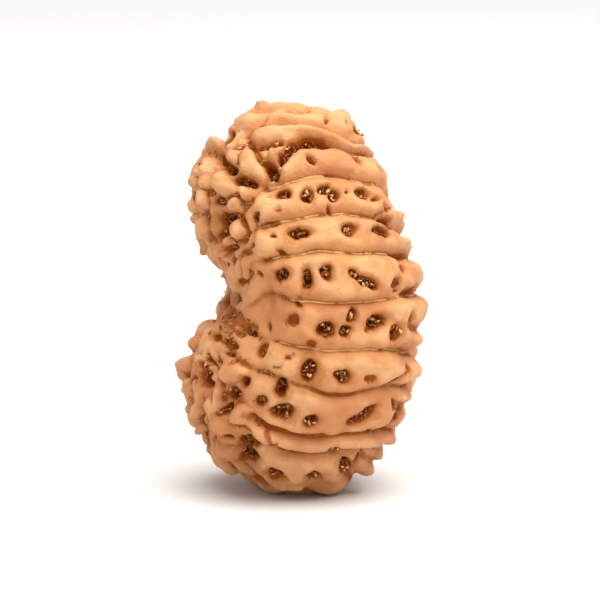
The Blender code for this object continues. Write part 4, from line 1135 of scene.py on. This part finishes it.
crevices = np.flatnonzero((hollow > CREVICE_HOLLOW) & (lumpy > 0.3) & (pit_depth < 0.3))
for root in fibre_draw.choice(crevices, CREVICE_STRANDS):
    heading = along_surface(fibre_draw.normal(size=3), root)
    start = bead_points[root] + STRAND_RADIUS * bead_normals[root]
    line = curled(start, heading, fibre_draw.uniform(0.25, 0.6), 0.3, 3)
    lay_strand(line, STRAND_RADIUS * fibre_draw.uniform(0.5, 1.1), fibre_draw.uniform(0.1, 0.85))

for places, _, _ in HATCH:
    for at in places:
        for _ in range(SCORE_STRANDS):
            root = front_vertex(fibre_draw.normal(at, 0.3))
            heading = along_surface(fibre_draw.normal(SCORE_HEADING, 0.35), root)
            line = curled(bead_points[root] + 0.04 * bead_normals[root], heading, 0.55, 0.25, 4)
            lay_strand(line, STRAND_RADIUS, fibre_draw.uniform(0.15, 0.85))

all_fibres = np.concatenate(fibre_points)
all_fibres[:, 2] = np.maximum(all_fibres[:, 2], bead_low[2] + LOWEST)
fibre_mesh = smooth_mesh("pulp_fibres", all_fibres, fibre_faces, {"shade": fibre_shades})
fibres = linked("pulp_fibres", fibre_mesh)

# Dried pulp, torn by brushing: dull straw with no shine, some of it soaked dark brown
SOAKED = "#6e330b"
STRAW = "#a96d38"
FRAYED = "#ebbf86"
pulp = bpy.data.materials.new("dried_pulp_torn")
pulp.use_nodes = True
tree = pulp.node_tree
shader = tree.nodes["Principled BSDF"]
shade = add(tree, "ShaderNodeAttribute", attribute_name="shade").outputs["Fac"]
tone = SOAKED
for starts, full, colour in ((0.2, 0.6, STRAW), (0.75, 0.95, FRAYED)):
    reach = {"Value": shade, "From Min": starts, "From Max": full}
    amount = add(tree, "ShaderNodeMapRange", reach, interpolation_type="SMOOTHSTEP").outputs["Result"]
    layers = {"Factor": amount, MIX_FIRST: tone, MIX_SECOND: colour}
    tone = add(tree, "ShaderNodeMix", layers, data_type="RGBA").outputs[MIX_RESULT]
tree.links.new(tone, shader.inputs["Base Color"])
shader.inputs["Roughness"].default_value = 0.8
shader.inputs["IOR"].default_value = 1.5
shader.inputs["Specular IOR Level"].default_value = 0.1
fibre_mesh.materials.append(pulp)

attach(fibres, "root")


# Floor, light and camera, no part of the bead: a pale floor under one large soft lamp
# overhead, seen from a little above as in the photograph.
FLOOR_REACH = 1.2
PAPER = "#dad9d6"
SKY_STRENGTH = 0.66
floor_mesh = bpy.data.meshes.new("floor")
corners = ((-1, -1), (1, -1), (1, 1), (-1, 1))
floor_mesh.from_pydata([(x * FLOOR_REACH, y * FLOOR_REACH, 0.0) for x, y in corners], [], [range(4)])
floor = linked("floor", floor_mesh)
# Matt white paper: it takes a soft shadow and shows no gloss
paper = bpy.data.materials.new("white_paper_matt")
paper.use_nodes = True
shader = paper.node_tree.nodes["Principled BSDF"]
shader.inputs["Base Color"].default_value = linear(PAPER)
shader.inputs["Roughness"].default_value = 0.9
shader.inputs["Specular IOR Level"].default_value = 0.1
floor_mesh.materials.append(paper)

world = bpy.data.worlds.new("studio")
world.use_nodes = True
background = world.node_tree.nodes["Background"]
background.inputs["Color"].default_value = (1.0, 1.0, 1.0, 1.0)
background.inputs["Strength"].default_value = SKY_STRENGTH
bpy.context.scene.world = world

LAMP_PLACE = Vector((0.08, -0.08, 0.42))
LAMP_AIM = Vector((0.0, 0.0, 0.015))
LAMP_WIDTH = 0.65
LAMP_WATTS = 4.7
lamp_data = bpy.data.lights.new("key_lamp", "AREA")
lamp_data.shape = "DISK"
lamp_data.size = LAMP_WIDTH
lamp_data.energy = LAMP_WATTS
lamp = linked("key_lamp", lamp_data)
lamp.location = LAMP_PLACE
lamp.rotation_euler = (LAMP_AIM - LAMP_PLACE).to_track_quat("-Z", "Y").to_euler()

PHOTO_SIDE = 600.0  # pixels
MIDDLE_PIXEL = (295.0, 299.5)  # where the photograph shows the middle of the bead's envelope
PIXELS_TO_A_MM = 11.25
SENSOR = 36.0  # millimetres
CAMERA_DISTANCE = 0.5
camera_data = bpy.data.cameras.new("camera")
camera_data.sensor_width = SENSOR
camera_data.lens = SENSOR * CAMERA_DISTANCE / (PHOTO_SIDE / PIXELS_TO_A_MM * MM)
camera_data.shift_x = (0.5 * PHOTO_SIDE - MIDDLE_PIXEL[0]) / PHOTO_SIDE
camera_data.shift_y = -(0.5 * PHOTO_SIDE - MIDDLE_PIXEL[1]) / PHOTO_SIDE
camera = linked("camera", camera_data)
camera.location = Vector(placed(np.zeros(3))) - CAMERA_DISTANCE * Vector(VIEW_AWAY)
camera.rotation_euler = Vector(VIEW_AWAY).to_track_quat("-Z", "Y").to_euler()
bpy.context.scene.camera = camera
bpy.context.scene.view_settings.view_transform = "Standard"
